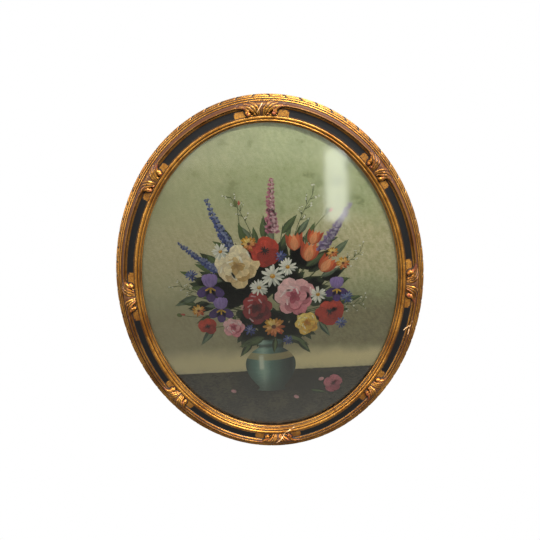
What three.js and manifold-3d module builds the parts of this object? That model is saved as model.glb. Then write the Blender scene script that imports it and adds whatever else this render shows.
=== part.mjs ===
// An oval oil painting under glass in a carved and gilded wooden frame.
// Millimetres. The picture hangs upright: it faces -Y, its top is +Z, and its flat back is the plane y = 0.
// The origin is on the flat back of the frame, at the middle of the top rail, where it bears on the wall.
//
// Every shape of the frame is given by three numbers:
//   t  the place round the oval, an ellipse angle that starts at the top and runs clockwise from the front
//   w  the distance outwards from the sight edge, the inner edge that shows the picture
//   h  the height towards the viewer above the front of the sight edge
import * as THREE from 'three';
import { mergeVertices } from 'three/addons/utils/BufferGeometryUtils.js';
import Module from 'manifold-3d';

const wasm = await Module();
wasm.setup();

// ---------- driving dimensions ----------
const GLASS_WIDTH = 406; // the usual 16 x 20 inch oval
const GLASS_HEIGHT = 508;
const SIGHT_LAP = 4; // how far the sight lip covers the edge of the glass
const REBATE_PLAY = 1; // room round the glass in the rebate
const GAP = 0.3; // clearance between neighbouring pieces

const SIGHT_X = GLASS_WIDTH / 2 - SIGHT_LAP; // half width of the sight opening
const SIGHT_Z = GLASS_HEIGHT / 2 - SIGHT_LAP; // half height of the sight opening

const BACK_H = -15; // the flat back of the frame
const LIP_THICK = 3; // wood in front of the glass
const REBATE_W = SIGHT_LAP + REBATE_PLAY;
const OUTER_W = 38.8; // the widest line of the frame
const OUTER_H = 0.8;
const BACK_OUTER_W = 34.5; // the side rakes in towards the wall
const LAND_IN = 9.9; // the flat land with the black strips
const LAND_OUT = 19.9;
const LAND_H = 8.8;
const LIP_W = 24.2; // the carved lip that stands over the land
const LIP_H = 13.5;
const SCOOP_W = 29.4; // the bottom of the scoop outside the lip
const SCOOP_H = 6.3;

const GLASS_THICK = 2;
const BOARD_THICK = 3;
const BACKING_THICK = 2.5;

const POINT_COUNT = 8;
const POINT = { along: 8, length: 14, thick: 0.8, inWood: 4.5 };

const PLATE = { along: 40, across: 13, thick: 1.5, w: 15, keyWide: 8.4, slotWide: 4.4, slotLong: 5 };
const SCREW = { spacing: 30, shankRadius: 1.1, headRadius: 2.9, length: 8 };
const SCREW_SIDES = 16;
const MOUNT_W = 28; // the mount stands this far outside the sight edge

const STATIONS = 72; // facets round the oval

// ---------- the oval ----------
const CENTRE_Z = -(SIGHT_Z + MOUNT_W);

function toPart(x, up, h) {
  return new THREE.Vector3(x, BACK_H - h, CENTRE_Z + up);
}

// a point of the frame from t, w and h
function onOval(t, w, h) {
  const nx = Math.sin(t) / SIGHT_X;
  const nz = Math.cos(t) / SIGHT_Z;
  const length = Math.hypot(nx, nz);
  const x = SIGHT_X * Math.sin(t) + (w * nx) / length;
  const up = SIGHT_Z * Math.cos(t) + (w * nz) / length;
  return toPart(x, up, h);
}

// millimetres along the land for one radian of t
function millimetresPerRadian(t) {
  const step = 0.001;
  const land = (LAND_IN + LAND_OUT) / 2;
  return onOval(t - step / 2, land, 0).distanceTo(onOval(t + step / 2, land, 0)) / step;
}

// ---------- meshes ----------
// joins rings of points, each of the same length, into a skin; ends are capped unless the rings close
function skin(rings, closed) {
  const sides = rings[0].length;
  const points = rings.flat();
  const faces = [];
  const last = closed ? rings.length : rings.length - 1;
  for (let i = 0; i < last; i++) {
    const here = i * sides;
    const next = ((i + 1) % rings.length) * sides;
    for (let j = 0; j < sides; j++) {
      const k = (j + 1) % sides;
      faces.push(here + j, next + j, next + k);
      faces.push(here + j, next + k, here + k);
    }
  }
  if (!closed) {
    const end = (rings.length - 1) * sides;
    for (let j = 1; j < sides - 1; j++) {
      faces.push(0, j, j + 1);
      faces.push(end, end + j + 1, end + j);
    }
  }
  const geometry = new THREE.BufferGeometry();
  geometry.setAttribute('position', new THREE.Float32BufferAttribute(points.flatMap((p) => p.toArray()), 3));
  geometry.setIndex(faces);
  return outwards(geometry);
}

// turns the faces round if they point inwards
function outwards(geometry) {
  const at = geometry.getAttribute('position');
  const index = geometry.getIndex().array;
  const [a, b, c] = [new THREE.Vector3(), new THREE.Vector3(), new THREE.Vector3()];
  let volume = 0;
  for (let i = 0; i < index.length; i += 3) {
    a.fromBufferAttribute(at, index[i]);
    b.fromBufferAttribute(at, index[i + 1]);
    c.fromBufferAttribute(at, index[i + 2]);
    volume += a.dot(b.cross(c));
  }
  if (volume < 0) index.reverse();
  return geometry;
}

function toSolid(geometry) {
  const bare = geometry.clone();
  bare.deleteAttribute('normal');
  bare.deleteAttribute('uv');
  const merged = mergeVertices(bare, 1e-4);
  return new wasm.Manifold(new wasm.Mesh({
    numProp: 3,
    vertProperties: new Float32Array(merged.getAttribute('position').array),
    triVerts: new Uint32Array(merged.getIndex().array),
  }));
}

function toGeometry(solid) {
  const mesh = solid.getMesh();
  const geometry = new THREE.BufferGeometry();
  geometry.setAttribute('position', new THREE.BufferAttribute(new Float32Array(mesh.vertProperties), 3));
  geometry.setIndex(new THREE.BufferAttribute(new Uint32Array(mesh.triVerts), 1));
  return geometry;
}

// a block at a place on the oval: along the rail, across it and through it
function railBlock(t, along, wFrom, wTo, hFrom, hTo) {
  const middle = onOval(t, (wFrom + wTo) / 2, (hFrom + hTo) / 2);
  const geometry = new THREE.BoxGeometry(along, hTo - hFrom, wTo - wFrom);
  const outer = onOval(t, wTo, (hFrom + hTo) / 2);
  const lean = Math.atan2(outer.x - middle.x, outer.z - middle.z);
  geometry.rotateY(lean);
  geometry.translate(middle.x, middle.y, middle.z);
  return geometry;
}

// ---------- the moulding ----------
// the section of the rail, from the back of the sight lip round the front to the back
function railSection() {
  const lip = [[0, -LIP_THICK], [0, 0.2], [1, 1.2], [2, 3.4], [2.4, 6], [3.4, 7.1]];
  const bead = [[5.2, 6.5], [6, 8.2], [7.3, 8.9], [LAND_IN, LAND_H]];
  const land = [[LAND_OUT, LAND_H], [22.7, 11.1], [23.3, 11], [LIP_W - 0.5, LIP_H - 0.3], [LIP_W + 0.6, LIP_H]];
  const scoop = [[26.8, 9], [SCOOP_W, SCOOP_H]];
  const fillet = [[30, 7.1], [31.4, 6.9]];
  const reeds = [[32.1, 5.3], [33.6, 5.9], [34.9, 4.2], [36.2, 4.4], [37.2, 2.5], [38.2, 2.4]];
  const side = [[OUTER_W, OUTER_H], [OUTER_W, -2], [BACK_OUTER_W, BACK_H]];
  const rebate = [[REBATE_W, BACK_H], [REBATE_W, -LIP_THICK]];
  return [...lip, ...bead, ...land, ...scoop, ...fillet, ...reeds, ...side, ...rebate];
}

function sweep(section) {
  const rings = [];
  for (let i = 0; i < STATIONS; i++) {
    const t = (i / STATIONS) * 2 * Math.PI;
    rings.push(section.map(([w, h]) => onOval(t, w, h)));
  }
  return skin(rings, true);
}

// ---------- the carved leaf clusters ----------
// A cluster is a fan of ridges that rise from a root beside the sight beads. The first ridge is the smooth
// tongue in the middle, which flares out into the scoop. The others, the same on both sides, sweep over the
// lip and turn away along the rail, and the last one is the end of the lip itself, hooked back in a tip.
// A knot of a ridge: its part of the half length along the rail, w and h.
const RIDGES = [
  [[0, 10.6, 9], [0, 15.5, 11.8], [0, 20.5, 13.4], [0, 25.4, 12.8], [0, 29, 6]],
  [[0.07, 10.6, 9.2], [0.1, 15.5, 12.8], [0.15, 20.2, 14.8], [0.27, 24.9, 14.2], [0.5, 28, 6.8]],
  [[0.13, 10.8, 9.3], [0.18, 15.2, 12.8], [0.27, 20, 15], [0.41, 23.9, 14.6], [0.63, 26.2, 9.6]],
  [[0.22, 11.1, 9.4], [0.29, 15.4, 12.8], [0.38, 18.8, 14.6], [0.53, 22, 14.9], [0.82, 25, 12]],
  [[0.5, 12.6, 10.6], [0.57, 15, 13.6], [0.56, 18.6, 14.4], [0.72, 22.8, 14.2], [1, 24.3, 12.9]],
];
const FOOT = [[0.53, 11.4, 8], [0.69, 14.2, 8], [0.71, 18.6, 8.4], [0.83, 21.4, 9.4], [1.02, 23.2, 10]];
const VALLEY = 2.4; // how deep the wood is cut between two ridges
const RIDGE_STEPS = 5;
const CLUSTER_FLOOR = 4; // the level inside the wood that a cluster reaches down to
const CLUSTER_MAIN = 34; // half length of the clusters at the top, bottom and sides
const CLUSTER_SMALL = 27; // half length of the four between them
const CLUSTER_LEAN = THREE.MathUtils.degToRad(47.8); // where the small ones stand

function ridgeLine(knots) {
  const curve = new THREE.CatmullRomCurve3(knots.map((knot) => new THREE.Vector3(...knot)));
  return curve.getPoints(RIDGE_STEPS);
}

function valleyLine(ridge, next) {
  return ridge.map((p, i) => {
    const depth = VALLEY * Math.sin((Math.PI * i) / RIDGE_STEPS);
    return p.clone().lerp(next[i], 0.5).sub(new THREE.Vector3(0, 0, depth));
  });
}

// the lines of one half of a cluster, from the middle of the tongue to the foot of the last ridge
function halfCluster() {
  const ridges = RIDGES.map(ridgeLine);
  const lines = [];
  for (let i = 0; i < ridges.length; i++) {
    lines.push(ridges[i]);
    if (i < ridges.length - 1) lines.push(valleyLine(ridges[i], ridges[i + 1]));
  }
  lines.push(ridgeLine(FOOT));
  return lines;
}

// each ring of the skin is one line of the fan on top, and the same line back along the floor
function cluster(t, half) {
  const perMillimetre = 1 / millimetresPerRadian(t);
  const right = halfCluster();
  const left = right.slice(1).reverse();
  const ring = (line, side) => {
    const place = (p, h) => onOval(t + side * p.x * half * perMillimetre, p.y, h);
    const top = line.map((p) => place(p, p.z));
    const floor = line.map((p) => place(p, CLUSTER_FLOOR)).reverse();
    return [...top, ...floor];
  };
  return skin([...left.map((line) => ring(line, -1)), ...right.map((line) => ring(line, 1))], false);
}

function clusters() {
  const solids = [];
  for (let quarter = 0; quarter < 4; quarter++) {
    const t = (quarter * Math.PI) / 2;
    const lean = quarter % 2 === 0 ? CLUSTER_LEAN : Math.PI / 2 - CLUSTER_LEAN;
    solids.push(toSolid(cluster(t, CLUSTER_MAIN)));
    solids.push(toSolid(cluster(t + lean, CLUSTER_SMALL)));
  }
  return solids;
}

// ---------- the hanger ----------
function keyhole(grow, hFrom, hTo) {
  const shape = new THREE.Shape();
  const r = PLATE.keyWide / 2 + grow;
  const slot = PLATE.slotWide / 2 + grow;
  const join = Math.sqrt(r * r - slot * slot);
  const low = Math.asin(slot / r);
  shape.moveTo(slot, join);
  shape.absarc(0, 0, r, Math.PI / 2 - low, Math.PI / 2 + low - 2 * Math.PI, true);
  shape.lineTo(-slot, PLATE.slotLong);
  shape.absarc(0, PLATE.slotLong, slot, Math.PI, 0, true);
  shape.lineTo(slot, join);
  const geometry = new THREE.ExtrudeGeometry(shape, { depth: hTo - hFrom, bevelEnabled: false, curveSegments: 6 });
  geometry.rotateX(Math.PI / 2);
  const place = onOval(0, PLATE.w - 1, hFrom);
  geometry.translate(place.x, place.y, place.z);
  return geometry;
}

function screwBar(side, radius, hFrom, hTo) {
  const place = onOval(0, PLATE.w, (hFrom + hTo) / 2);
  const geometry = new THREE.CylinderGeometry(radius, radius, hTo - hFrom, SCREW_SIDES);
  geometry.translate((side * SCREW.spacing) / 2, place.y, place.z);
  return geometry;
}

function hangerPlate() {
  const { along, across, thick, w } = PLATE;
  let plate = toSolid(railBlock(0, along, w - across / 2, w + across / 2, BACK_H, BACK_H + thick));
  plate = plate.subtract(toSolid(keyhole(0, BACK_H - 1, BACK_H + thick + 1)));
  for (const side of [-1, 1]) {
    plate = plate.subtract(toSolid(screwBar(side, SCREW.headRadius + GAP, BACK_H - 1, BACK_H + thick + 1)));
  }
  return toGeometry(plate);
}

function hangerScrew(side) {
  const head = toSolid(screwBar(side, SCREW.headRadius, BACK_H, BACK_H + PLATE.thick));
  const shank = screwBar(side, SCREW.shankRadius, BACK_H + PLATE.thick / 2, BACK_H + SCREW.length);
  return toGeometry(head.add(toSolid(shank)));
}

// ---------- what lies in the rebate ----------
function oval(w, hFrom, hTo) {
  const rings = [hFrom, hTo].map((h) => {
    const ring = [];
    for (let i = 0; i < STATIONS; i++) ring.push(onOval((i / STATIONS) * 2 * Math.PI, w, h));
    return ring;
  });
  return skin(rings, false);
}

const GLASS_FRONT = -LIP_THICK - GAP;
const PAINTING_FRONT = GLASS_FRONT - GLASS_THICK - GAP;
const BACKING_FRONT = PAINTING_FRONT - BOARD_THICK - GAP;
const POINT_FRONT = BACKING_FRONT - BACKING_THICK - GAP;

function pointAngle(i) {
  return ((i + 0.5) / POINT_COUNT) * 2 * Math.PI;
}

function glazingPoint(i) {
  const { along, length, thick, inWood } = POINT;
  const outer = REBATE_W + inWood;
  return railBlock(pointAngle(i), along, outer - length, outer, POINT_FRONT - thick, POINT_FRONT);
}

// ---------- the frame ----------
function pocket(along, across, deep) {
  return toSolid(railBlock(0, along, PLATE.w - across / 2, PLATE.w + across / 2, BACK_H - 1, BACK_H + deep));
}

function frame() {
  let solid = toSolid(sweep(railSection()));
  for (const leaf of clusters()) solid = solid.add(leaf);
  solid = solid.subtract(pocket(PLATE.along + 2 * GAP, PLATE.across + 2 * GAP, PLATE.thick + GAP));
  solid = solid.subtract(toSolid(keyhole(GAP, BACK_H, BACK_H + PLATE.thick + 5)));
  for (const side of [-1, 1]) {
    const hole = screwBar(side, SCREW.shankRadius + GAP, BACK_H, BACK_H + SCREW.length + GAP);
    solid = solid.subtract(toSolid(hole));
  }
  for (let i = 0; i < POINT_COUNT; i++) {
    const { along, thick, inWood } = POINT;
    const to = REBATE_W + inWood + GAP;
    const slot = [POINT_FRONT - thick - GAP, POINT_FRONT + GAP];
    solid = solid.subtract(toSolid(railBlock(pointAngle(i), along + 2 * GAP, REBATE_W - 1, to, ...slot)));
  }
  return toGeometry(solid);
}

// ---------- materials and assembly ----------
const material = (color, roughness, metalness) => new THREE.MeshStandardMaterial({ color, roughness, metalness });
const gilding = material('#a8762f', 0.45, 0.6);
const clear = material('#dfe8e4', 0.05, 0);
const paint = material('#9a9f7c', 0.5, 0);
const board = material('#8d6f4c', 0.9, 0);
const steel = material('#9a9a98', 0.4, 0.9);
const brassed = material('#a88a4a', 0.4, 0.9);

const picture = new THREE.Group();

function addPiece(name, geometry, finish) {
  const mesh = new THREE.Mesh(geometry, finish);
  mesh.name = name;
  picture.add(mesh);
}

addPiece('frame', frame(), gilding);
addPiece('glass', oval(SIGHT_LAP, GLASS_FRONT - GLASS_THICK, GLASS_FRONT), clear);
addPiece('painting', oval(SIGHT_LAP, PAINTING_FRONT - BOARD_THICK, PAINTING_FRONT), paint);
addPiece('backing_board', oval(SIGHT_LAP, BACKING_FRONT - BACKING_THICK, BACKING_FRONT), board);
for (let i = 0; i < POINT_COUNT; i++) addPiece(`glazing_point_${i + 1}`, glazingPoint(i), steel);
addPiece('hanger_plate', hangerPlate(), brassed);
addPiece('hanger_screw_left', hangerScrew(-1), brassed);
addPiece('hanger_screw_right', hangerScrew(1), brassed);

export default picture;
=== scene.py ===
# %% [markdown]
# # A framed oil painting under glass
# An oval picture in a carved and gilded wooden frame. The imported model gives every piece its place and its
# size. What this script adds is what the eye wants: the crisp profile of the moulding, the carved leaves, the
# worn gold over red bole, the black strips, and a still life in oil colour behind the glass.
#
# Every place on the frame is given by three numbers, which makes an oval as easy to work on as a straight rail:
# **t**, the angle round the oval from the top, clockwise seen from the front; **w**, the millimetres outwards
# from the sight edge; and **h**, the millimetres towards the viewer above the sight edge.

# %% Load the frame
import math

import bmesh
import bpy
import numpy as np
from mathutils import Matrix, Vector


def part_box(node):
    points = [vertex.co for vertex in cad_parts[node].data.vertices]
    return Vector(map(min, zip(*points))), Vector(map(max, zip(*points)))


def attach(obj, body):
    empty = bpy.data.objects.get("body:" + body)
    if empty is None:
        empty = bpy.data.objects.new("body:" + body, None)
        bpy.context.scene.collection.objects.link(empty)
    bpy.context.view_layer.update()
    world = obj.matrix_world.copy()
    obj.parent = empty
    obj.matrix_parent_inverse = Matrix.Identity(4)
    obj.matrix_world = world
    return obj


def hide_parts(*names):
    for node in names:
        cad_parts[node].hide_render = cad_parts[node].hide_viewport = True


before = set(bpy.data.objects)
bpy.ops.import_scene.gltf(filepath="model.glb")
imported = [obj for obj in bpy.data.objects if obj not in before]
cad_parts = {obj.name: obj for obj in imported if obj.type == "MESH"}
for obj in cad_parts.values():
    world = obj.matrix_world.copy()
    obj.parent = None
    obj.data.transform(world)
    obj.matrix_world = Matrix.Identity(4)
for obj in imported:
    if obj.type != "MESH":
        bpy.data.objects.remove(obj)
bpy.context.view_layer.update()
MM = 0.001
print("pieces in the frame:", sorted(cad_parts))

# %% [markdown]
# ## Sizes that everything else follows
# The glass says how big the oval is: the wood laps over its edge all round, so the sight edge is the outline of
# the glass less that lap. From there t, w and h lead to a point in the model with one short formula.

# %% Sizes of the oval
glass_low, glass_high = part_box("glass")
frame_low, frame_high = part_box("frame")
SIGHT_LAP = 4.0  # how far the wood covers the edge of the glass, in millimetres
LIP_THICK = 3.3  # from the front of the glass to the sight edge
SIGHT_X = (glass_high.x - glass_low.x) / 2 / MM - SIGHT_LAP
SIGHT_Z = (glass_high.z - glass_low.z) / 2 / MM - SIGHT_LAP
CENTRE_Z = (frame_low.z + frame_high.z) / 2
SIGHT_Y = glass_low.y - LIP_THICK * MM
OUTER_W = (frame_high.x - frame_low.x) / 2 / MM - SIGHT_X
BACK_H = (SIGHT_Y - frame_high.y) / MM
print(f"sight {2 * SIGHT_X:.1f} x {2 * SIGHT_Z:.1f} mm, rail {OUTER_W:.1f} mm wide, back at h {BACK_H:.1f}")


def on_oval(t, w, h):
    """Points of the frame, in metres, from arrays of t in radians and w and h in millimetres."""
    t, w, h = np.broadcast_arrays(*(np.asarray(a, float) for a in (t, w, h)))
    nx, nz = np.sin(t) / SIGHT_X, np.cos(t) / SIGHT_Z
    length = np.hypot(nx, nz)
    x = SIGHT_X * np.sin(t) + w * nx / length
    up = SIGHT_Z * np.cos(t) + w * nz / length
    return np.stack([x * MM, SIGHT_Y - h * MM, CENTRE_Z + up * MM], axis=-1)


def mm_per_radian(t, w):
    """How many millimetres one radian of t is, on the line that lies w outside the sight edge."""
    step = 0.001
    ends = on_oval([t - step / 2, t + step / 2], w, 0)
    return float(np.linalg.norm(ends[1] - ends[0])) / step / MM


# %% [markdown]
# ## Camera
# The picture is seen from a little above its middle, so the top rail is met head on and the bottom rail from
# above. The camera is built from its bearing, its height, its distance and a small roll, as a photographer
# would set it up by hand.

# %% Camera
LENS = 36.34  # millimetres, on a sensor 36 mm wide
CAMERA_AZIMUTH, CAMERA_ELEVATION, CAMERA_ROLL = 0.498, 20.489, -2.945  # degrees
CAMERA_DISTANCE = 0.8493  # metres from the middle of the oval
middle = Vector((0, SIGHT_Y, CENTRE_Z))
aim = middle + Vector((0.00063, 0, 0.0302))


def direction(azimuth, elevation):
    """A direction away from the picture, from degrees to the right of it and above it."""
    a, e = math.radians(azimuth), math.radians(elevation)
    return Vector((math.sin(a) * math.cos(e), -math.cos(a) * math.cos(e), math.sin(e)))


def turned_towards(place, target, roll=0.0):
    """The matrix of a camera or a lamp at place that looks at target, rolled by some degrees."""
    forward = (target - place).normalized()
    right = forward.cross(Vector((0, 0, 1))).normalized()
    up = right.cross(forward)
    r = math.radians(roll)
    across = right * math.cos(r) + up * math.sin(r)
    upwards = up * math.cos(r) - right * math.sin(r)
    matrix = Matrix((across, upwards, -forward)).transposed().to_4x4()
    matrix.translation = place
    return matrix


def add_camera():
    data = bpy.data.cameras.new("camera")
    data.lens, data.sensor_width = LENS, 36
    camera = bpy.data.objects.new("camera", data)
    bpy.context.scene.collection.objects.link(camera)
    place = middle + direction(CAMERA_AZIMUTH, CAMERA_ELEVATION) * CAMERA_DISTANCE
    camera.matrix_world = turned_towards(place, aim, CAMERA_ROLL)
    bpy.context.scene.camera = camera
    return camera


camera = add_camera()
print("camera at", [round(v, 3) for v in camera.matrix_world.translation])

# %% [markdown]
# ## Nodes written as sums
# Both the shapes and the finishes below are node trees. Wired by hand they are hard to read, so one small class
# wraps a socket: adding or multiplying two of them adds a Math node, and `node` adds any other kind.


# %% A socket that can be added up
class Wire:
    """An output socket of a node tree. Sums and products of wires add Math nodes to the tree."""

    def __init__(self, tree, socket=None):
        self.tree, self.socket = tree, socket

    def node(self, kind, settings=None, inputs=None, output=0):
        """A new node of the same tree: settings first, then values or wires for its sockets."""
        new = self.tree.nodes.new(kind)
        for name, value in (settings or {}).items():
            if name == "stops":
                set_stops(new.color_ramp, value)
            else:
                setattr(new, name, value)
        for name, value in (inputs or {}).items():
            if isinstance(value, Wire):
                self.tree.links.new(value.socket, new.inputs[name])
            else:
                new.inputs[name].default_value = value
        return Wire(self.tree, new.outputs[output] if len(new.outputs) else None)

    def other(self, output):
        """Another output of the node that this wire comes from."""
        return Wire(self.tree, self.socket.node.outputs[output])

    def maths(self, operation, *values):
        inputs = {i: value for i, value in enumerate(values)}
        return self.node("ShaderNodeMath", {"operation": operation}, inputs)

    def smooth(self, start, end):
        """From 0 at start to 1 at end, easing in and out."""
        inputs = {"Value": self, "From Min": start, "From Max": end}
        return self.node("ShaderNodeMapRange", {"interpolation_type": "SMOOTHSTEP"}, inputs)

    def mix(self, first, second, blend="MIX"):
        """Colour first where this wire is 0, second where it is 1."""
        settings = {"data_type": "RGBA", "blend_type": blend}
        return self.node("ShaderNodeMix", settings, {0: self, 6: colour(first), 7: colour(second)}, 2)


OPERATORS = {"add": "ADD", "sub": "SUBTRACT", "mul": "MULTIPLY", "truediv": "DIVIDE", "mod": "FLOORED_MODULO",
             "lt": "LESS_THAN", "gt": "GREATER_THAN"}
METHODS = {"__abs__": "ABSOLUTE", "sin": "SINE", "cos": "COSINE", "arccos": "ARCCOSINE", "sqrt": "SQRT",
           "floor": "FLOOR", "at_least": "MAXIMUM", "at_most": "MINIMUM"}
for word, operation in OPERATORS.items():
    setattr(Wire, f"__{word}__", lambda self, other, o=operation: self.maths(o, self, other))
    setattr(Wire, f"__r{word}__", lambda self, other, o=operation: self.maths(o, other, self))
for word, operation in METHODS.items():
    setattr(Wire, word, lambda self, *other, o=operation: self.maths(o, self, *other))


def colour(value):
    """A wire stays one; three numbers become an opaque colour."""
    return value if isinstance(value, Wire) else (*value, 1.0)


def set_stops(ramp, stops):
    """Gives a colour ramp its stops: pairs of a place and a colour."""
    while len(ramp.elements) < len(stops):
        ramp.elements.new(1.0)
    for element, (place, value) in zip(ramp.elements, stops):
        element.position, element.color = place, (*value, 1.0)


def rgb(red, green, blue):
    """A colour given on a 0 to 255 scale, as the linear light that shaders work with."""
    def linear(v):
        v /= 255
        return v / 12.92 if v <= 0.04045 else ((v + 0.055) / 1.055) ** 2.4
    return tuple(linear(v) for v in (red, green, blue))


# %% [markdown]
# Geometry Nodes trees get the same treatment. `new_tree` makes one with named inputs, and `grow` runs it once
# and keeps the result as a plain mesh, so nothing is left live when the piece is finished.

# %% Trees for shapes
SOCKETS = {float: "NodeSocketFloat", int: "NodeSocketInt", "object": "NodeSocketObject",
           "collection": "NodeSocketCollection", "material": "NodeSocketMaterial"}


def new_tree(name, inputs):
    """A Geometry Nodes tree with these named inputs, {name: default value or kind}, and the inputs as wires."""
    tree = bpy.data.node_groups.new(name, "GeometryNodeTree")
    tree.interface.new_socket("Geometry", in_out="OUTPUT", socket_type="NodeSocketGeometry")
    for title, value in inputs.items():
        kind = SOCKETS[value if isinstance(value, str) else type(value)]
        socket = tree.interface.new_socket(title, in_out="INPUT", socket_type=kind)
        if not isinstance(value, str):
            socket.default_value = value
    source = tree.nodes.new("NodeGroupInput")
    return tree, {title: Wire(tree, source.outputs[title]) for title in inputs}


def grow(name, tree, values):
    """Runs a tree once, with these values for its inputs, and gives the result as a plain mesh object."""
    host = bpy.data.objects.new(name + " host", bpy.data.meshes.new(name + " host"))
    bpy.context.scene.collection.objects.link(host)
    modifier = host.modifiers.new("nodes", "NODES")
    modifier.node_group = tree
    names = {s.name: s.identifier for s in tree.interface.items_tree if s.in_out == "INPUT"}
    for title, value in values.items():
        modifier[names[title]] = value
    graph = bpy.context.evaluated_depsgraph_get()
    graph.update()
    mesh = bpy.data.meshes.new_from_object(host.evaluated_get(graph), preserve_all_data_layers=True,
                                           depsgraph=graph)
    bpy.data.objects.remove(host)
    return as_object(name, mesh)


def as_object(name, mesh):
    mesh.name = name
    piece = bpy.data.objects.new(name, mesh)
    bpy.context.scene.collection.objects.link(piece)
    return piece


def mesh_from(name, points, faces, attributes=None):
    """A mesh object from points and faces, with float attributes on its points."""
    mesh = bpy.data.meshes.new(name)
    mesh.from_pydata([tuple(p) for p in points], [], faces)
    for title, values in (attributes or {}).items():
        layer = mesh.attributes.new(title, "FLOAT", "POINT")
        layer.data.foreach_set("value", np.asarray(values, np.float32))
    return as_object(name, mesh)


def volume_of(piece):
    """The signed volume of a closed mesh: positive when its faces look outwards."""
    shape = bmesh.new()
    shape.from_mesh(piece.data)
    volume = shape.calc_volume(signed=True)
    shape.free()
    return volume


def report(piece):
    triangles = sum(len(p.vertices) - 2 for p in piece.data.polygons)
    print(f"{piece.name}: {triangles} triangles, {volume_of(piece) * 1e6:.2f} ml")
    return piece


# %% [markdown]
# ## The moulding: its section
# A frame maker planes a moulding with a stack of shaped irons, and the section below is that stack: three sight
# beads, a flat land for the black strips, a sloping border, a lip that overhangs it, a scoop, a fillet and three
# reeds. Straight cuts are points, and each bead or hollow is one arc between two of them.


# %% Section of the rail
def arc(points, end, bulge, steps):
    """Continues the line to end on an arc that stands out from the wood by bulge, or into it if negative."""
    start = np.array(points[-1], float)
    way = np.array(end, float) - start
    left = np.array([-way[1], way[0]]) / np.hypot(*way)
    for k in range(1, steps + 1):
        f = k / steps
        points.append(tuple(start + f * way + 4 * bulge * f * (1 - f) * left))


LAND_IN, LAND_OUT, LAND_H = 9.9, 19.9, 8.8
FILLET_W = 30.9


def rail_section():
    """The closed outline of the rail, as (w, h), from the back of the sight edge round the front to the back."""
    line = [(0, -3), (0, -1.4), (0, -0.2)]
    arc(line, (1.6, 0.6), 0.55, 4)
    line += [(1.75, 2.4)]
    arc(line, (2.3, 4.7), -0.1, 2)
    arc(line, (4.9, 5.9), 1.3, 7)
    line += [(5.3, 5.6)]
    arc(line, (9.2, 8.3), 1.6, 8)
    line += [(9.5, 7.9), (LAND_IN, 8.85), (10.3, LAND_H), (13, LAND_H), (16, LAND_H), (19.5, LAND_H)]
    line += [(LAND_OUT, 8.9)]
    arc(line, (22.5, 11.1), 0.35, 5)
    line += [(22.8, 10.5), (23.25, 10.4), (23.45, 12.3)]
    arc(line, (25.3, 12.9), 0.65, 6)
    arc(line, (29.4, 6.3), -0.9, 9)
    line += [(29.75, 6.9)]
    arc(line, (31.4, 6.8), 0.3, 4)
    line += [(31.8, 5.5), (32.2, 5.2)]
    arc(line, (34.8, 4.3), 0.95, 6)
    line += [(35.0, 3.8)]
    arc(line, (37.15, 2.4), 0.85, 6)
    line += [(37.35, 1.9)]
    arc(line, (OUTER_W, 0.1), 0.5, 5)
    arc(line, (OUTER_W - 0.4, -3.2), 0.15, 3)
    arc(line, (34.7, -14.6), -0.5, 4)
    line += [(34.2, BACK_H), (28, BACK_H), (21, BACK_H), (14, BACK_H), (5.4, BACK_H)]
    line += [(5, BACK_H + 0.4), (5, -9), (5, -3)]
    return np.array(line, float)


def hollowness(line, reach):
    """How far each point of a closed outline lies in a groove (above 0) or on a ridge (below 0)."""
    ends = np.roll(line, -1, axis=0)
    steps = np.hypot(*(ends - line).T)
    place = np.concatenate([[0], np.cumsum(steps)])
    total = place[-1]
    looped = np.vstack([line, line[:1]])
    def at(s):
        return np.stack([np.interp(s % total, place, looped[:, k]) for k in (0, 1)], axis=1)
    here = place[:-1]
    before, after = at(here - reach), at(here + reach)
    chord = after - before
    left = np.stack([-chord[:, 1], chord[:, 0]], axis=1) / np.hypot(*chord.T)[:, None]
    return np.sum(((before + after) / 2 - line) * left, axis=1) / reach


section = rail_section()
section_hollow = hollowness(section, 1.0)
front_rows = slice(2, int(np.argmax(section[:, 0] >= OUTER_W - 1e-6)) + 1)
print(len(section), "points round the section; deepest groove", round(float(section_hollow.max()), 2))

# %% [markdown]
# ## The moulding: round the oval
# The rail is the section carried round the oval, with slanting cuts across its reeds. That is a rule, so it is a
# Geometry Nodes tree: a grid has one row for each point of the section and one column for each station, and
# every point of it is moved to its place by the formula above. Curve to Mesh could sweep the section too, but
# here each point knows its t, w and h, which the cuts and the gilding need. The stations stand closer together
# at a cut than between cuts, and under the carved leaves the wood is let down, so that the leaves can be
# carved from there as pieces of finer mesh.

# %% The tree of the moulding
CUTS = 72  # slanting cuts across the reeds, all round
STATIONS_PER_CUT = 12


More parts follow.
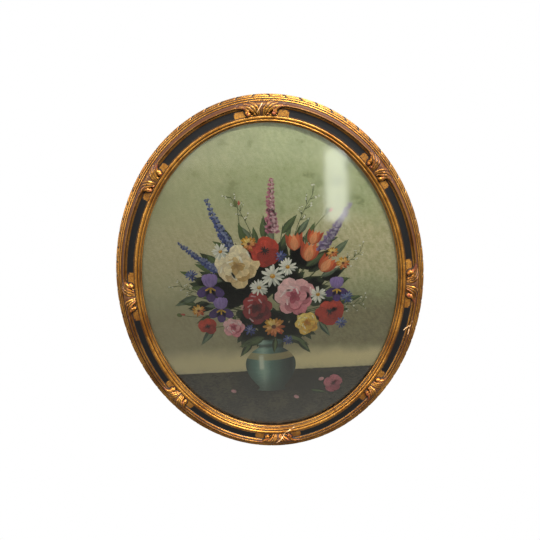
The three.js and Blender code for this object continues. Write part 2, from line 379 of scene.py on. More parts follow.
def moulding_tree():
    tree, given = new_tree("oval moulding", {
        "Section": "object", "Section Points": 10, "Gilding": "material",
        "Half Width": 100.0, "Half Height": 100.0, "Centre Height": 0.0, "Sight Depth": 0.0,
        "Cuts": 10, "Stations per Cut": 10, "Crowding": 0.6, "Cut Width": 2.0, "Cut Depth": 1.0,
        "Cut Slant": 1.0, "Cut Inner Edge": 30.0, "Rail Width": 40.0,
        "Main Leaf Half Angle Top": 0.1, "Main Leaf Half Angle Side": 0.1, "Small Leaf Half Angle": 0.1,
        "Small Leaf Angle": 0.8, "Leaf Inner Edge": 10.0, "Leaf Outer Edge": 30.0, "Let Down": 2.0,
    })
    start = Wire(tree)
    rows, cuts = given["Section Points"], given["Cuts"]
    stations = cuts * given["Stations per Cut"]
    grid = start.node("GeometryNodeMeshGrid", None, {
        "Size X": 1.0, "Size Y": 1.0, "Vertices X": stations + 1, "Vertices Y": rows + 1})

    # which station and which point of the section each grid point is
    index = start.node("GeometryNodeInputIndex")
    station = (index / (rows + 1)).floor()
    row = (index % (rows + 1)) % rows
    turn = station / stations * cuts
    cell = turn % 1.0
    crowded = turn + given["Crowding"] * (cell * math.tau).sin() / math.tau
    even = crowded / cuts * math.tau
    t = even + EVEN_UP * (even * 2.0).sin()

    shape = start.node("GeometryNodeObjectInfo", {"transform_space": "ORIGINAL"}, {
        "Object": given["Section"]}, "Geometry")
    point = start.node("GeometryNodeSampleIndex", {"data_type": "FLOAT_VECTOR"}, {
        "Geometry": shape, "Value": start.node("GeometryNodeInputPosition"), "Index": row})
    parts = start.node("ShaderNodeSeparateXYZ", None, {0: point})
    w, h = parts, parts.other("Y")
    on_front = (row < FRONT_ROW_END) * (row > 1.5)

    # the slanting cuts: a V across the reeds, leaning one way on the left and the other on the right
    pitch = millimetres_round() / cuts
    side = t.sin().smooth(-0.02, 0.02) * 2.0 - 1.0
    across = (w - given["Cut Inner Edge"]) / (given["Rail Width"] - given["Cut Inner Edge"])
    off = (crowded % 1.0 - 0.5) * pitch + side * given["Cut Slant"] * (across - 0.5)
    groove = (1.0 - abs(off) / given["Cut Width"]).at_least(0.0)
    cut = groove.smooth(0.0, 0.9) * across.smooth(0.0, 0.35) * on_front
    deep = cut * given["Cut Depth"]

    # the wood under the carved leaves
    fold = abs(t.cos()).arccos()
    small = (1.0 - abs(fold - given["Small Leaf Angle"]) / given["Small Leaf Half Angle"])
    top = 1.0 - fold / given["Main Leaf Half Angle Top"]
    flank = 1.0 - (math.pi / 2 - fold) / given["Main Leaf Half Angle Side"]
    under = small.at_least(top).at_least(flank).smooth(0.0, 0.08)
    inside = w.smooth(given["Leaf Inner Edge"], given["Leaf Inner Edge"] + 1.0)
    inside = inside * (1.0 - w.smooth(given["Leaf Outer Edge"] - 1.0, given["Leaf Outer Edge"]))
    down = under * inside * given["Let Down"] * on_front

    # t, w and h to a place
    out_w = w - deep * 0.35 * across.smooth(0.5, 1.0)
    out_h = h - deep - down
    nx, nz = t.sin() / given["Half Width"], t.cos() / given["Half Height"]
    length = (nx * nx + nz * nz).sqrt()
    x = given["Half Width"] * t.sin() + out_w * nx / length
    up = given["Half Height"] * t.cos() + out_w * nz / length
    place = start.node("ShaderNodeCombineXYZ", None, {
        0: x * MM, 1: given["Sight Depth"] - out_h * MM, 2: given["Centre Height"] + up * MM})

    # what the gilding needs to know; t goes on the corners of the faces, because it jumps where the oval closes
    def named(title):
        return start.node("GeometryNodeInputNamedAttribute", {"data_type": "FLOAT"}, {"Name": title})

    groove_here = start.node("GeometryNodeSampleIndex", {"data_type": "FLOAT"}, {
        "Geometry": shape, "Value": named("hollow"), "Index": row})
    mesh = grid
    stored = [("across", w, "POINT"), ("rise", h, "POINT"), ("hollow", groove_here + cut * 0.8, "POINT"),
              ("cut", cut, "POINT"), ("turned", t, "POINT"), ("around", named("turned"), "CORNER")]
    for title, value, domain in stored:
        mesh = start.node("GeometryNodeStoreNamedAttribute", {"data_type": "FLOAT", "domain": domain}, {
            "Geometry": mesh, "Name": title, "Value": value})
    mesh = start.node("GeometryNodeSetPosition", None, {"Geometry": mesh, "Position": place})
    mesh = start.node("GeometryNodeMergeByDistance", None, {"Geometry": mesh, "Distance": 0.00001})
    mesh = start.node("GeometryNodeSetShadeSmooth", None, {"Geometry": mesh, "Shade Smooth": True})
    mesh = start.node("GeometryNodeRealizeInstances", None, {"Geometry": mesh})
    mesh = start.node("GeometryNodeSetMaterial", None, {"Geometry": mesh, "Material": given["Gilding"]})
    start.node("NodeGroupOutput", None, {0: mesh})
    return tree

# %% Stations at an even pace
# An ellipse angle runs faster over the flat flanks than over the top, so the cuts would spread out there. Adding
# a little of the sine of twice the angle evens the pace.
REED_W = 37.0  # the line on which the pitch of the cuts is measured
top_pace, side_pace = mm_per_radian(0, REED_W), mm_per_radian(math.pi / 2, REED_W)
EVEN_UP = (side_pace - top_pace) / (side_pace + top_pace) / 2
FRONT_ROW_END = front_rows.stop - 0.5


def millimetres_round():
    """The length of the line on which the cuts lie."""
    line = on_oval(np.linspace(0, math.tau, 721), REED_W, 0)
    return float(np.linalg.norm(np.diff(line, axis=0), axis=1).sum()) / MM


print(f"{CUTS} cuts, {millimetres_round() / CUTS:.1f} mm apart")

# %% Where the leaves stand
# Four long leaves stand at the top, the bottom and the sides, and four shorter ones between them.
MAIN_HALF, SMALL_HALF = 34.0, 27.0  # half lengths along the rail, in millimetres
SMALL_ANGLE = math.radians(47.8)
LEAF_W = (LAND_IN + LAND_OUT) / 2  # the line on which the lengths are measured
LEAF_IN, LEAF_OUT = 9.95, 31.0  # the carved band, from the sight beads to the fillet
LEAF_MARGIN = 3.0  # plain wood that each leaf's own mesh takes in beyond its ends
LEAVES = []
for quarter in range(4):
    lean = SMALL_ANGLE if quarter % 2 == 0 else math.pi / 2 - SMALL_ANGLE
    LEAVES.append((quarter * math.pi / 2, MAIN_HALF, "main"))
    LEAVES.append((quarter * math.pi / 2 + lean, SMALL_HALF, "small"))


# %% Plane the moulding
def section_object():
    """The section as a chain of points, w along X and h along Y, for the tree to read."""
    points = [(w, h, 0) for w, h in section]
    return mesh_from("section", points, [], {"hollow": section_hollow})


def make_moulding(gilding):
    pattern = section_object()
    piece = grow("gilded_moulding", moulding_tree(), {
        "Section": pattern, "Section Points": len(section), "Gilding": gilding,
        "Half Width": SIGHT_X, "Half Height": SIGHT_Z, "Centre Height": CENTRE_Z, "Sight Depth": SIGHT_Y,
        "Cuts": CUTS, "Stations per Cut": STATIONS_PER_CUT, "Crowding": 0.6, "Cut Width": 2.1,
        "Cut Depth": 1.5, "Cut Slant": 4.5, "Cut Inner Edge": 34.9, "Rail Width": OUTER_W,
        "Main Leaf Half Angle Top": MAIN_HALF / mm_per_radian(0, LEAF_W),
        "Main Leaf Half Angle Side": MAIN_HALF / mm_per_radian(math.pi / 2, LEAF_W),
        "Small Leaf Half Angle": SMALL_HALF / mm_per_radian(SMALL_ANGLE, LEAF_W),
        "Small Leaf Angle": SMALL_ANGLE, "Leaf Inner Edge": LEAF_IN, "Leaf Outer Edge": LEAF_OUT,
        "Let Down": 3.0,
    })
    bpy.data.objects.remove(pattern)
    return piece


gilding = bpy.data.materials.new("worn gilding")
moulding = report(make_moulding(gilding))
print("attributes:", [a.name for a in moulding.data.attributes if not a.name.startswith(".")])

# %% [markdown]
# ## The carved leaves
# Each leaf is a fan. A smooth tongue rises from a root beside the sight beads and flares out into the scoop, and
# on both sides ribs sweep over the lip and curl away along the rail, the last of them hooked back in a tip. A
# carver works this from the solid, so it is made as a surface of heights over the band from the beads to the
# fillet: every rib is a line in space with a round top, the wood is as high as the highest rib at each point,
# and where two ribs meet they leave the sharp valley that a gouge leaves.

# %% The lines of a leaf
# A knot of a rib: its part of the half length along the rail, w and h. The first rib is the tongue.
RIBS = [
    [(0, 10.6, 9), (0, 15.5, 11.8), (0, 20.5, 13.4), (0, 25.4, 12.8), (0, 29, 6.4)],
    [(0.07, 10.6, 9.2), (0.1, 15.5, 12.8), (0.15, 20.2, 14.8), (0.27, 24.9, 14.2), (0.5, 28.6, 7)],
    [(0.13, 10.8, 9.3), (0.18, 15.2, 12.8), (0.27, 20, 15), (0.41, 23.9, 14.6), (0.63, 27.2, 9.6)],
    [(0.22, 11.1, 9.4), (0.29, 15.4, 12.8), (0.38, 18.8, 14.6), (0.53, 22, 14.9), (0.82, 25, 12.6)],
    [(0.5, 12.6, 10.6), (0.57, 15, 13.6), (0.56, 18.6, 14.4), (0.72, 22.8, 14.2), (1, 24.4, 13.1)],
]
RIB_SPREAD = [(1.6, 2.4, 2.8, 6.0, 12.0), (1.0, 1.7, 2.1, 2.1, 1.6), (1.0, 1.7, 2.1, 2.0, 1.5),
              (1.0, 1.7, 2.2, 2.2, 1.3), (1.5, 2.8, 2.6, 2.0, 0.9)]  # half widths at the knots
RIB_CROWN = [1.2, 1.7, 1.8, 1.8, 2.4]  # how far a rib has fallen at its own edge
WALL_SLOPE = 3.0  # how steeply the wood falls beyond the edge
KNOBS = [(0.53, 13.6, 3.0, 13.9), (0.27, 12.6, 1.5, 11.6)]  # part of the half length, w, radius, top
PITS = [(0.40, 12.3, 1.3, 4.0), (0.66, 12.0, 0.9, 1.6)]  # drilled hollows: part, w, radius, depth


def smooth_line(knots, steps):
    """A smooth line through the knots, with steps pieces between each two."""
    knots = np.array(knots, float)
    padded = np.vstack([2 * knots[0] - knots[1], knots, 2 * knots[-1] - knots[-2]])
    out = []
    for k in range(len(knots) - 1):
        a, b, c, d = padded[k:k + 4]
        f = np.linspace(0, 1, steps, endpoint=False)[:, None]
        out.append(b + 0.5 * f * (c - a) + f**2 * (a - 2.5 * b + 2 * c - 0.5 * d)
                   + f**3 * (1.5 * (b - c) + 0.5 * (d - a)))
    return np.vstack([*out, knots[-1:]])


def near_line(s, w, line):
    """For each grid point the distance to a line of (s, w, ...) points, and the line's other values there."""
    best = np.full(s.shape, 1e9)
    values = np.zeros((*s.shape, line.shape[1] - 2))
    for start, end in zip(line[:-1], line[1:]):
        way = end[:2] - start[:2]
        f = ((s - start[0]) * way[0] + (w - start[1]) * way[1]) / max(way @ way, 1e-9)
        f = np.clip(f, 0, 1)
        gap = np.hypot(s - start[0] - f * way[0], w - start[1] - f * way[1])
        closer = gap < best
        best = np.where(closer, gap, best)
        here = start[2:] + f[..., None] * (end[2:] - start[2:])
        values = np.where(closer[..., None], here, values)
    return best, values


def wobble(s, w, size, seed):
    """A smooth unevenness between about -1 and 1 with bumps of this size, different for each seed."""
    random = np.random.default_rng(seed)
    total = np.zeros(np.shape(s))
    for _ in range(6):
        angle, phase, stretch = random.uniform(0, math.tau), random.uniform(0, math.tau), random.uniform(0.7, 1.4)
        total += np.sin((s * math.cos(angle) + w * math.sin(angle)) * math.tau / (size * stretch) + phase)
    return total / 3


# %% The surface of a leaf
SECTION_FRONT = section[front_rows]
PROUD_FROM, PROUD_KEEP = 13.0, 0.83  # above this height the crests are pressed down to this share


def plain_height(w):
    """The height of the plain moulding at w, on its front."""
    return np.interp(w, SECTION_FRONT[:, 0], SECTION_FRONT[:, 1])


def soften(field, rounds):
    """The field with each point drawn towards its neighbours, rounds times."""
    for _ in range(rounds):
        wide = np.pad(field, 1, mode="edge")
        field = (wide[1:-1, 1:-1] * 4 + wide[:-2, 1:-1] + wide[2:, 1:-1] + wide[1:-1, :-2] + wide[1:-1, 2:]) / 8
    return field


def leaf_surface(s, w, half, seed):
    """Heights of a carved leaf on a grid of s and w, and how much each point is tongue or tip."""
    drift = 0.45 * wobble(s, w, 17, seed), 0.3 * wobble(s, w, 13, seed + 1)
    s_cut, w_cut = s + drift[0], w + drift[1] * np.clip((w - LEAF_IN) / 3, 0, 1)
    part = np.abs(s_cut) / half
    bare = plain_height(w)
    outer_rib = smooth_line(RIBS[-1], 8)
    edge = np.interp(w, outer_rib[:, 1], outer_rib[:, 0])
    inside = np.clip((edge - part) * half / 2.0, 0, 1)
    height = bare + inside * (np.minimum(bare, LAND_H - 0.6) - bare)
    tongue = np.zeros(s.shape)
    tip = np.zeros(s.shape)
    for k, (knots, spread) in enumerate(zip(RIBS, RIB_SPREAD)):
        line = smooth_line([(*knot, r) for knot, r in zip(knots, spread)], 10)
        line[:, 0] *= half
        gap, values = near_line(np.abs(s_cut), w_cut, line)
        top, reach = values[..., 0], values[..., 1]
        lean = np.clip(gap / reach, 0, 1)
        fall = RIB_CROWN[k] * (1 - np.sqrt(1 - lean**2 * 0.98)) + WALL_SLOPE * np.maximum(gap - reach, 0)
        rib = top - fall + 0.12 * wobble(s, w, 4, seed + 7 * k)
        over = rib > height
        tongue = np.where(over, float(k == 0), tongue)
        tip = np.where(over, np.clip((k - 2) / 2, 0, 1), tip)
        height = np.maximum(height, rib)
    for part_k, w_k, radius, top in KNOBS:
        gap = np.hypot(np.abs(s_cut) - part_k * half, w_cut - w_k)
        bump = top - radius * (1 - np.sqrt(np.clip(1 - (gap / radius)**2, 0, 1)))
        tip = np.where((gap < radius) & (bump > height), 1.0, tip)
        height = np.where(gap < radius, np.maximum(height, bump), height)
    for part_k, w_k, radius, depth in PITS:
        gap = np.hypot(np.abs(s_cut) - part_k * half, w_cut - w_k)
        height = height - depth * np.clip(1 - (gap / radius)**2, 0, 1)
    height = np.where(height > PROUD_FROM, PROUD_FROM + (height - PROUD_FROM) * PROUD_KEEP, height)
    return height, tongue, tip


# %% Carve the leaves
LEAF_STEP = 0.36  # millimetres between points along the rail
LEAF_FLOOR = 1.5  # the level inside the wood that a leaf reaches down to
SINK = 0.25  # how far the rim of a leaf's mesh lies under the moulding


def leaf_widths():
    """The lines across the carved band: one at each point of the section, and more between them."""
    fixed = [w for w in SECTION_FRONT[:, 0] if LEAF_IN < w < LEAF_OUT]
    lines = [LEAF_IN, *fixed, LEAF_OUT]
    out = [lines[0]]
    for w in lines[1:]:
        pieces = max(1, round((w - out[-1]) / LEAF_STEP))
        out += list(np.linspace(out[-1], w, pieces + 1)[1:])
    return np.array(out)


def leaf_mesh(t, half, seed):
    """Points, faces and attributes of one carved leaf, closed underneath."""
    reach = half + LEAF_MARGIN
    along = np.linspace(-reach, reach, int(2 * reach / LEAF_STEP) + 1)
    s, w = np.meshgrid(along, leaf_widths(), indexing="ij")
    height, tongue, tip = leaf_surface(s, w, half, seed)
    hollow = np.clip((soften(height, 14) - height) / 0.5, -1, 1)
    rim = np.zeros(s.shape, bool)
    rim[[0, -1], :] = rim[:, [0, -1]] = True
    level = np.where(rim, height - SINK, height + 0.03)
    turn = t + s / mm_per_radian(t, LEAF_W)
    top = on_oval(turn, w, level).reshape(-1, 3)
    rows, columns = s.shape
    number = np.arange(rows * columns).reshape(rows, columns)
    a, b, c, d = number[:-1, :-1], number[1:, :-1], number[1:, 1:], number[:-1, 1:]
    faces = np.stack([a, b, c, d], axis=-1).reshape(-1, 4).tolist()
    loop = [*number[0, :], *number[1:, -1], *number[-1, -2::-1], *number[-2:0:-1, 0]]
    low = on_oval(turn.ravel()[loop], w.ravel()[loop], LEAF_FLOOR)
    below = rows * columns + np.arange(len(loop))
    for k in range(len(loop)):
        n = (k + 1) % len(loop)
        faces.append([loop[k], loop[n], below[n], below[k]])
    faces.append(list(below[::-1]))
    values = {"across": w, "rise": height, "hollow": hollow, "tongue": tongue, "tip": tip, "around": turn % math.tau}
    spare = np.zeros(len(loop))
    values = {title: np.concatenate([v.ravel(), spare]) for title, v in values.items()}
    return np.vstack([top, low]), faces, values


def carve_leaves(name, kind, gilding):
    """All the leaves of one kind, as one piece."""
    points, faces, values, count = [], [], {}, 0
    for number, (t, half, this_kind) in enumerate(LEAVES):
        if this_kind != kind:
            continue
        new_points, new_faces, new_values = leaf_mesh(t, half, 100 * (number + 1))
        faces += [[i + count for i in face] for face in new_faces]
        points.append(new_points)
        count += len(new_points)
        for title, column in new_values.items():
            values.setdefault(title, []).append(column)
    joined = {title: np.concatenate(columns) for title, columns in values.items()}
    piece = mesh_from(name, np.vstack(points), faces, joined)
    piece.data.materials.append(gilding)
    piece.data.polygons.foreach_set("use_smooth", [True] * len(piece.data.polygons))
    return report(piece)


leaves = [carve_leaves("carved_leaves_long", "main", gilding), carve_leaves("carved_leaves_short", "small", gilding)]

# %% [markdown]
# ## Helpers for finishes
# A finish is built from patterns of a known size, so `grains` takes millimetres. Everything reads the place on
# the object or the numbers that the mesh carries, so no finish slides when the piece or the eye moves.


# %% Finishes
class Finish:
    """One material: where its patterns are read from, and the shader that they end in."""

    def __init__(self, material):
        if isinstance(material, str):
            material = bpy.data.materials.new(material)
        material.use_nodes = True
        material.node_tree.nodes.clear()
        self.material = material
        self.start = Wire(material.node_tree)
        self.place = self.start.node("ShaderNodeTexCoord", output="Object")

    def reading(self, title):
        """A number that the mesh carries under this name."""
        return self.start.node("ShaderNodeAttribute", {"attribute_name": title}, output="Fac")

    def stretched(self, x, y, z, place=None):
        """The place with its axes stretched, to draw a pattern out along one of them."""
        return self.start.node("ShaderNodeMapping", None, {"Vector": place or self.place, "Scale": (x, y, z)})

    def grains(self, size, detail=3.0, roughness=0.55, place=None):
        """Soft noise from 0 to 1 whose grains are about size millimetres."""
        inputs = {"Vector": place or self.place, "Scale": 1 / (size * MM), "Detail": detail, "Roughness": roughness}
        return self.start.node("ShaderNodeTexNoise", None, inputs)

    def shade(self, colour_of, roughness, metallic=0.0, height=None, depth=0.1, **plain):
        """Ends the material in a Principled shader; height is a bump of this many millimetres."""
        inputs = {"Base Color": colour_of if isinstance(colour_of, Wire) else colour(colour_of),
                  "Roughness": roughness, "Metallic": metallic, **plain}
        if height is not None:
            inputs["Normal"] = self.start.node("ShaderNodeBump", None, {
                "Strength": 1.0, "Distance": depth * MM, "Height": height})
        shader = self.start.node("ShaderNodeBsdfPrincipled", None, inputs)
        self.start.node("ShaderNodeOutputMaterial", None, {"Surface": shader})
        return self.material


# %% [markdown]
# ## Worn gilding
# The rail was coated in red bole and gold leaf, then toned: a dark umber wash lies in every groove, and painted
# shade darkens it further in the deepest grooves, the cuts, under the lip and inside the sight edge; the scoop
# outside the lip is glazed brown, black strips are painted on the land, and handling has rubbed the leaf down to
# the bole on the tips. Each of those is one mask. The masks come from what the mesh knows: how deep a point lies
# in a groove, how far out it is, and where on the oval.

# %% Places of the strips and the scratches
STRIP_SPANS = [(10.14, 40.51), (55.15, 81.26)]  # degrees of t, the same in each quarter
STRIP_IN, STRIP_OUT = 10.35, 19.65
SCRATCHES = [  # from and to, as millimetres right of the middle and above it, and the width
    ((1, -272), (13, -258), 0.5), ((13, -258), (28, -250), 0.45), ((207, -78), (221, -64), 0.5),
    ((213, -84), (215, -74), 0.35), ((2, 277), (-6, 265), 0.4), ((-8, -279), (2, -270), 0.35),
]


def span(value, start, end, soft):
    """1 between start and end, with edges this soft."""
    return value.smooth(start - soft, start + soft) * (1.0 - value.smooth(end - soft, end + soft))


def scratch_mask(finish):
    """1 on the thin lines where something has scraped the surface."""
    parts = finish.start.node("ShaderNodeSeparateXYZ", None, {0: finish.place})
    x = parts / MM + finish.grains(3, 1) * 1.2 - 0.6
    up = (parts.other("Z") - CENTRE_Z) / MM
    mask = None
    for (x0, z0), (x1, z1), width in SCRATCHES:
        length = math.hypot(x1 - x0, z1 - z0)
        ux, uz = (x1 - x0) / length, (z1 - z0) / length
        along = (x - x0) * ux + (up - z0) * uz
        off = abs((x - x0) * uz - (up - z0) * ux)
        line = (1.0 - off.smooth(width * 0.5, width * 1.3)) * span(along, 0.0, length, 0.8)
        mask = line if mask is None else mask.at_least(line)
    return mask


# %% The gilding
GOLD_LIGHT, GOLD_DEEP = rgb(182, 130, 56), rgb(118, 73, 25)
TARNISH = rgb(52, 29, 11)
# the darker umber is painted shade, for the deepest grooves and the cuts
UMBER, PAINTED_SHADE_UMBER = rgb(34, 16, 7), rgb(11, 5, 3)
BOLE = rgb(104, 38, 29)
GLAZE = rgb(62, 33, 20)
BLACK = rgb(6, 6, 7)
BARE_WOOD, WOOD_DARK = rgb(150, 112, 72), rgb(92, 62, 38)


def gild(material):
    f = Finish(material)
    across, rise, hollow = f.reading("across"), f.reading("rise"), f.reading("hollow")
    tongue, tip, cut, around = f.reading("tongue"), f.reading("tip"), f.reading("cut"), f.reading("around")
    broad, middling, fine = f.grains(55, 2), f.grains(7, 3), f.grains(1.1, 4, 0.7)
    speck = f.grains(0.7, 2, 0.5)

    # gold leaf, brighter where it is rubbed and duller where it is tarnished
    tone = broad * 0.5 + middling * 0.5
    gold = tone.smooth(0.36, 0.62).mix(GOLD_DEEP, GOLD_LIGHT)
    dull = (fine * 0.6 + middling * 0.4).smooth(0.47, 0.6) * 0.8
    gold = dull.mix(gold, TARNISH)

    # red bole on what stands proud
    proud = (0.0 - hollow + fine * 0.5 - 0.25)
    rubbed = proud.smooth(0.42, 0.75) * middling.smooth(0.5, 0.62) * 0.55
    rubbed = rubbed.at_least(tip * (middling + fine * 0.4).smooth(0.66, 0.8) * 0.8)
    body = rubbed.mix(gold, BOLE)

    # the umber wash in the grooves, deepened by painted shade
    wash_and_shade = (hollow + fine * 0.3 - 0.15).smooth(-0.05, 0.1)
    body = wash_and_shade.mix(body, UMBER)
    # painted shade: near black in the deepest grooves, in the cuts across the reeds and in the step under the lip
    deep = (hollow + fine * 0.2 - 0.1).smooth(0.08, 0.3).at_least(cut.smooth(0.2, 0.75) * 0.95)
    body = deep.mix(body, PAINTED_SHADE_UMBER)

    # the lip and the border inside it are toned down, and painted shade darkens the step under the lip
    # and the foot of the sight beads
    toned_and_shaded = span(across + fine * 0.6 - 0.3, 20.2, 25.2, 0.5).at_least(span(across, 9.35, 10.4, 0.15))
    body = (toned_and_shaded * (0.35 + middling * 0.4)).mix(body, UMBER)

    # the brown glaze over the scoop and the tongues
    scoop = span(across + fine * 0.8 - 0.4, 24.6, 29.45, 0.5)
    glazed = scoop.at_least(tongue) * (0.95 - proud.smooth(0.2, 0.6) * 0.4)
    glaze = middling.mix(GLAZE, UMBER)
    body = (glazed * (0.72 + fine * 0.35)).at_most(1.0).mix(body, glaze)

    # the black strips, chipped along their edges
    fold = abs(around.cos()).arccos() * math.degrees(1)
    ragged = (middling - 0.5) * 0.25 + (speck - 0.5) * 0.25
    strips = None
    for start, end in STRIP_SPANS:
        one = span(fold + ragged * 0.5, start, end, 0.03)
        strips = one if strips is None else strips + one
    band = span(across + ragged, STRIP_IN, STRIP_OUT, 0.08) * (rise > 5.0)
    near_edge = 1.0 - span(across, STRIP_IN + 0.9, STRIP_OUT - 0.9, 0.5)
    chips = (speck.smooth(0.6, 0.68) * middling.smooth(0.48, 0.6) * near_edge)
    black = strips * band * (1.0 - chips)
    body = black.mix(body, BLACK)

    # scratches show pale gesso; the flanks are toned dark and the inside of the sight edge gets painted shade;
    # the back is bare
    scratch = scratch_mask(f)
    body = (scratch * 0.8).mix(body, rgb(205, 165, 120))
    front_side = (rise > -13.5)
    # one mask for both: dark tone on the outer flanks, painted shade on the inside of the sight edge
    flank = span(rise + fine * 1.5 - 0.7, -20.0, -0.6, 0.5) * front_side
    body = (flank * 0.85).mix(body, UMBER)
    ring = f.grains(3.0, 3, 0.6, f.stretched(0.25, 1.0, 3.0))
    wood = ring.mix(BARE_WOOD, WOOD_DARK)
    back = 1.0 - (rise > -14.2)
    body = back.mix(body, wood)

    covered_or_shaded = wash_and_shade.at_least(glazed * 0.85).at_least(deep).at_least(black).at_least(flank).at_least(back)
    metal = (1.0 - covered_or_shaded) * (1.0 - dull * 0.5) * (1.0 - rubbed) * (1.0 - scratch)
    rough = 0.34 + fine * 0.16 + covered_or_shaded * 0.16 - black * 0.18 + back * 0.25
    height = fine * 0.5 + middling * 0.3 + speck * 0.2 - chips * 0.5
    return f.shade(body, rough, metal * 0.92, height, 0.22, **{"Specular IOR Level": 0.25})


gild(gilding)
print("gilding:", len(gilding.node_tree.nodes), "nodes")

# %% [markdown]
# ## Glass
# Thin clear glass lets the light straight through and mirrors a little of it, more at a slant. A transparent
# shader and a mirror mixed by Fresnel say exactly that, and the picture behind stays as bright as it should.


# %% Clear glass
def glass_finish():
    f = Finish("clear glass")
    through = f.start.node("ShaderNodeBsdfTransparent", None, {"Color": (0.98, 0.985, 0.965, 1)})
    mirror = f.start.node("ShaderNodeBsdfGlossy", None, {"Color": (1, 1, 1, 1), "Roughness": 0.07})
    share = f.start.node("ShaderNodeFresnel", None, {"IOR": 1.5})
    mixed = f.start.node("ShaderNodeMixShader", None, {0: share, 1: through, 2: mirror})
    f.start.node("ShaderNodeOutputMaterial", None, {"Surface": mixed})
    return f.material


def dress(node, material):
    """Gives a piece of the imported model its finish."""
    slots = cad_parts[node].data.materials
    slots.clear()
    slots.append(material)


dress("glass", glass_finish())

# %% [markdown]
# ## Floor and light
# The picture hangs, so the floor lies well below it. One large soft light stands to the upper right, a weaker
# one fills from the left, and a narrow one low in front of the picture is the window that the glass mirrors.


# %% Stage
def pale_surface(name):
    """A pale floor that the eye sees as bright paper, and that throws back only a little light."""
    f = Finish(name)
    seen = f.start.node("ShaderNodeLightPath", output="Is Camera Ray")
    paper = f.start.node("ShaderNodeEmission", None, {"Color": (1, 1, 1, 1), "Strength": 1.0})
    matt = f.start.node("ShaderNodeBsdfDiffuse", None, {"Color": (0.2, 0.2, 0.19, 1)})
    mixed = f.start.node("ShaderNodeMixShader", None, {0: seen, 1: matt, 2: paper})
    f.start.node("ShaderNodeOutputMaterial", None, {"Surface": mixed})
    return f.material


def add_floor():
    level, reach = CENTRE_Z - 1.4, 12
    corners = [(-reach, -reach, level), (reach, -reach, level), (reach, reach, level), (-reach, reach, level)]
    floor = mesh_from("floor", corners, [(0, 1, 2, 3)])
    floor.data.materials.append(pale_surface("pale floor"))


def add_softbox(name, azimuth, elevation, distance, size, watts, tint=(1, 1, 1), target=None):
    """A soft light as wide and high as size, at a bearing from the middle of the picture."""
    data = bpy.data.lights.new(name, "AREA")
    data.shape, data.size, data.size_y = "RECTANGLE", *size
    data.energy, data.color = watts, tint
    lamp = bpy.data.objects.new(name, data)
    bpy.context.scene.collection.objects.link(lamp)
    target = target or middle
    lamp.matrix_world = turned_towards(target + direction(azimuth, elevation) * distance, target)
    return lamp


def add_world():
    world = bpy.data.worlds.new("studio")
    world.use_nodes = True
    world.node_tree.nodes.clear()
    start = Wire(world.node_tree)
    seen = start.node("ShaderNodeLightPath", output="Is Camera Ray")
    paper = start.node("ShaderNodeBackground", None, {"Color": (1, 1, 1, 1), "Strength": 1.0})
    room = start.node("ShaderNodeBackground", None, {"Color": (1.0, 0.985, 0.95, 1), "Strength": 0.7})
    mixed = start.node("ShaderNodeMixShader", None, {0: seen, 1: room, 2: paper})
    start.node("ShaderNodeOutputWorld", None, {"Surface": mixed})
    bpy.context.scene.world = world


for thing in ("Cube", "Light", "Camera"):
    if thing in bpy.data.objects:
        bpy.data.objects.remove(bpy.data.objects[thing])
bpy.context.scene.view_settings.view_transform = "Standard"
add_world()
add_floor()
add_softbox("key", 32, 48, 2.0, (1.1, 0.9), 210, (1.0, 0.97, 0.92))
add_softbox("fill", -62, 18, 2.2, (0.9, 1.4), 62, (1.0, 0.98, 0.95))
window = Vector((0.47, -3.0, -0.65))
window_lamp = add_softbox("window", 0, 0, 1.0, (0.15, 0.5), 1.25, (0.97, 1.0, 0.92))
window_lamp.matrix_world = turned_towards(window, middle + Vector((0.1, 0, 0.15)))

# %% [markdown]
# ## The painting: its ground
# A still life of garden flowers in a teal jar. The painter laid the ground in thin oil first: sage green above,
# warmer and paler towards the middle, a tan wall lower down and a dark table. All of that is only colour, so it
# is a finish on the flat board, brushed in strokes that lean a little and broken where the colours meet.

# %% Ground colours of the painting
TABLE_UP = -146.0  # the far edge of the table, in millimetres above the middle of the picture
SAGE, SAGE_PALE, MOSS = rgb(158, 168, 126), rgb(186, 192, 152), rgb(122, 134, 88)
CREAM, TAN, OLIVE_CREAM = rgb(216, 206, 172), rgb(128, 113, 86), rgb(174, 166, 124)
PALE_WALL = rgb(236, 222, 174)
TABLE, TABLE_LIGHT, TABLE_DARK = rgb(72, 65, 50), rgb(94, 88, 66), rgb(48, 42, 34)


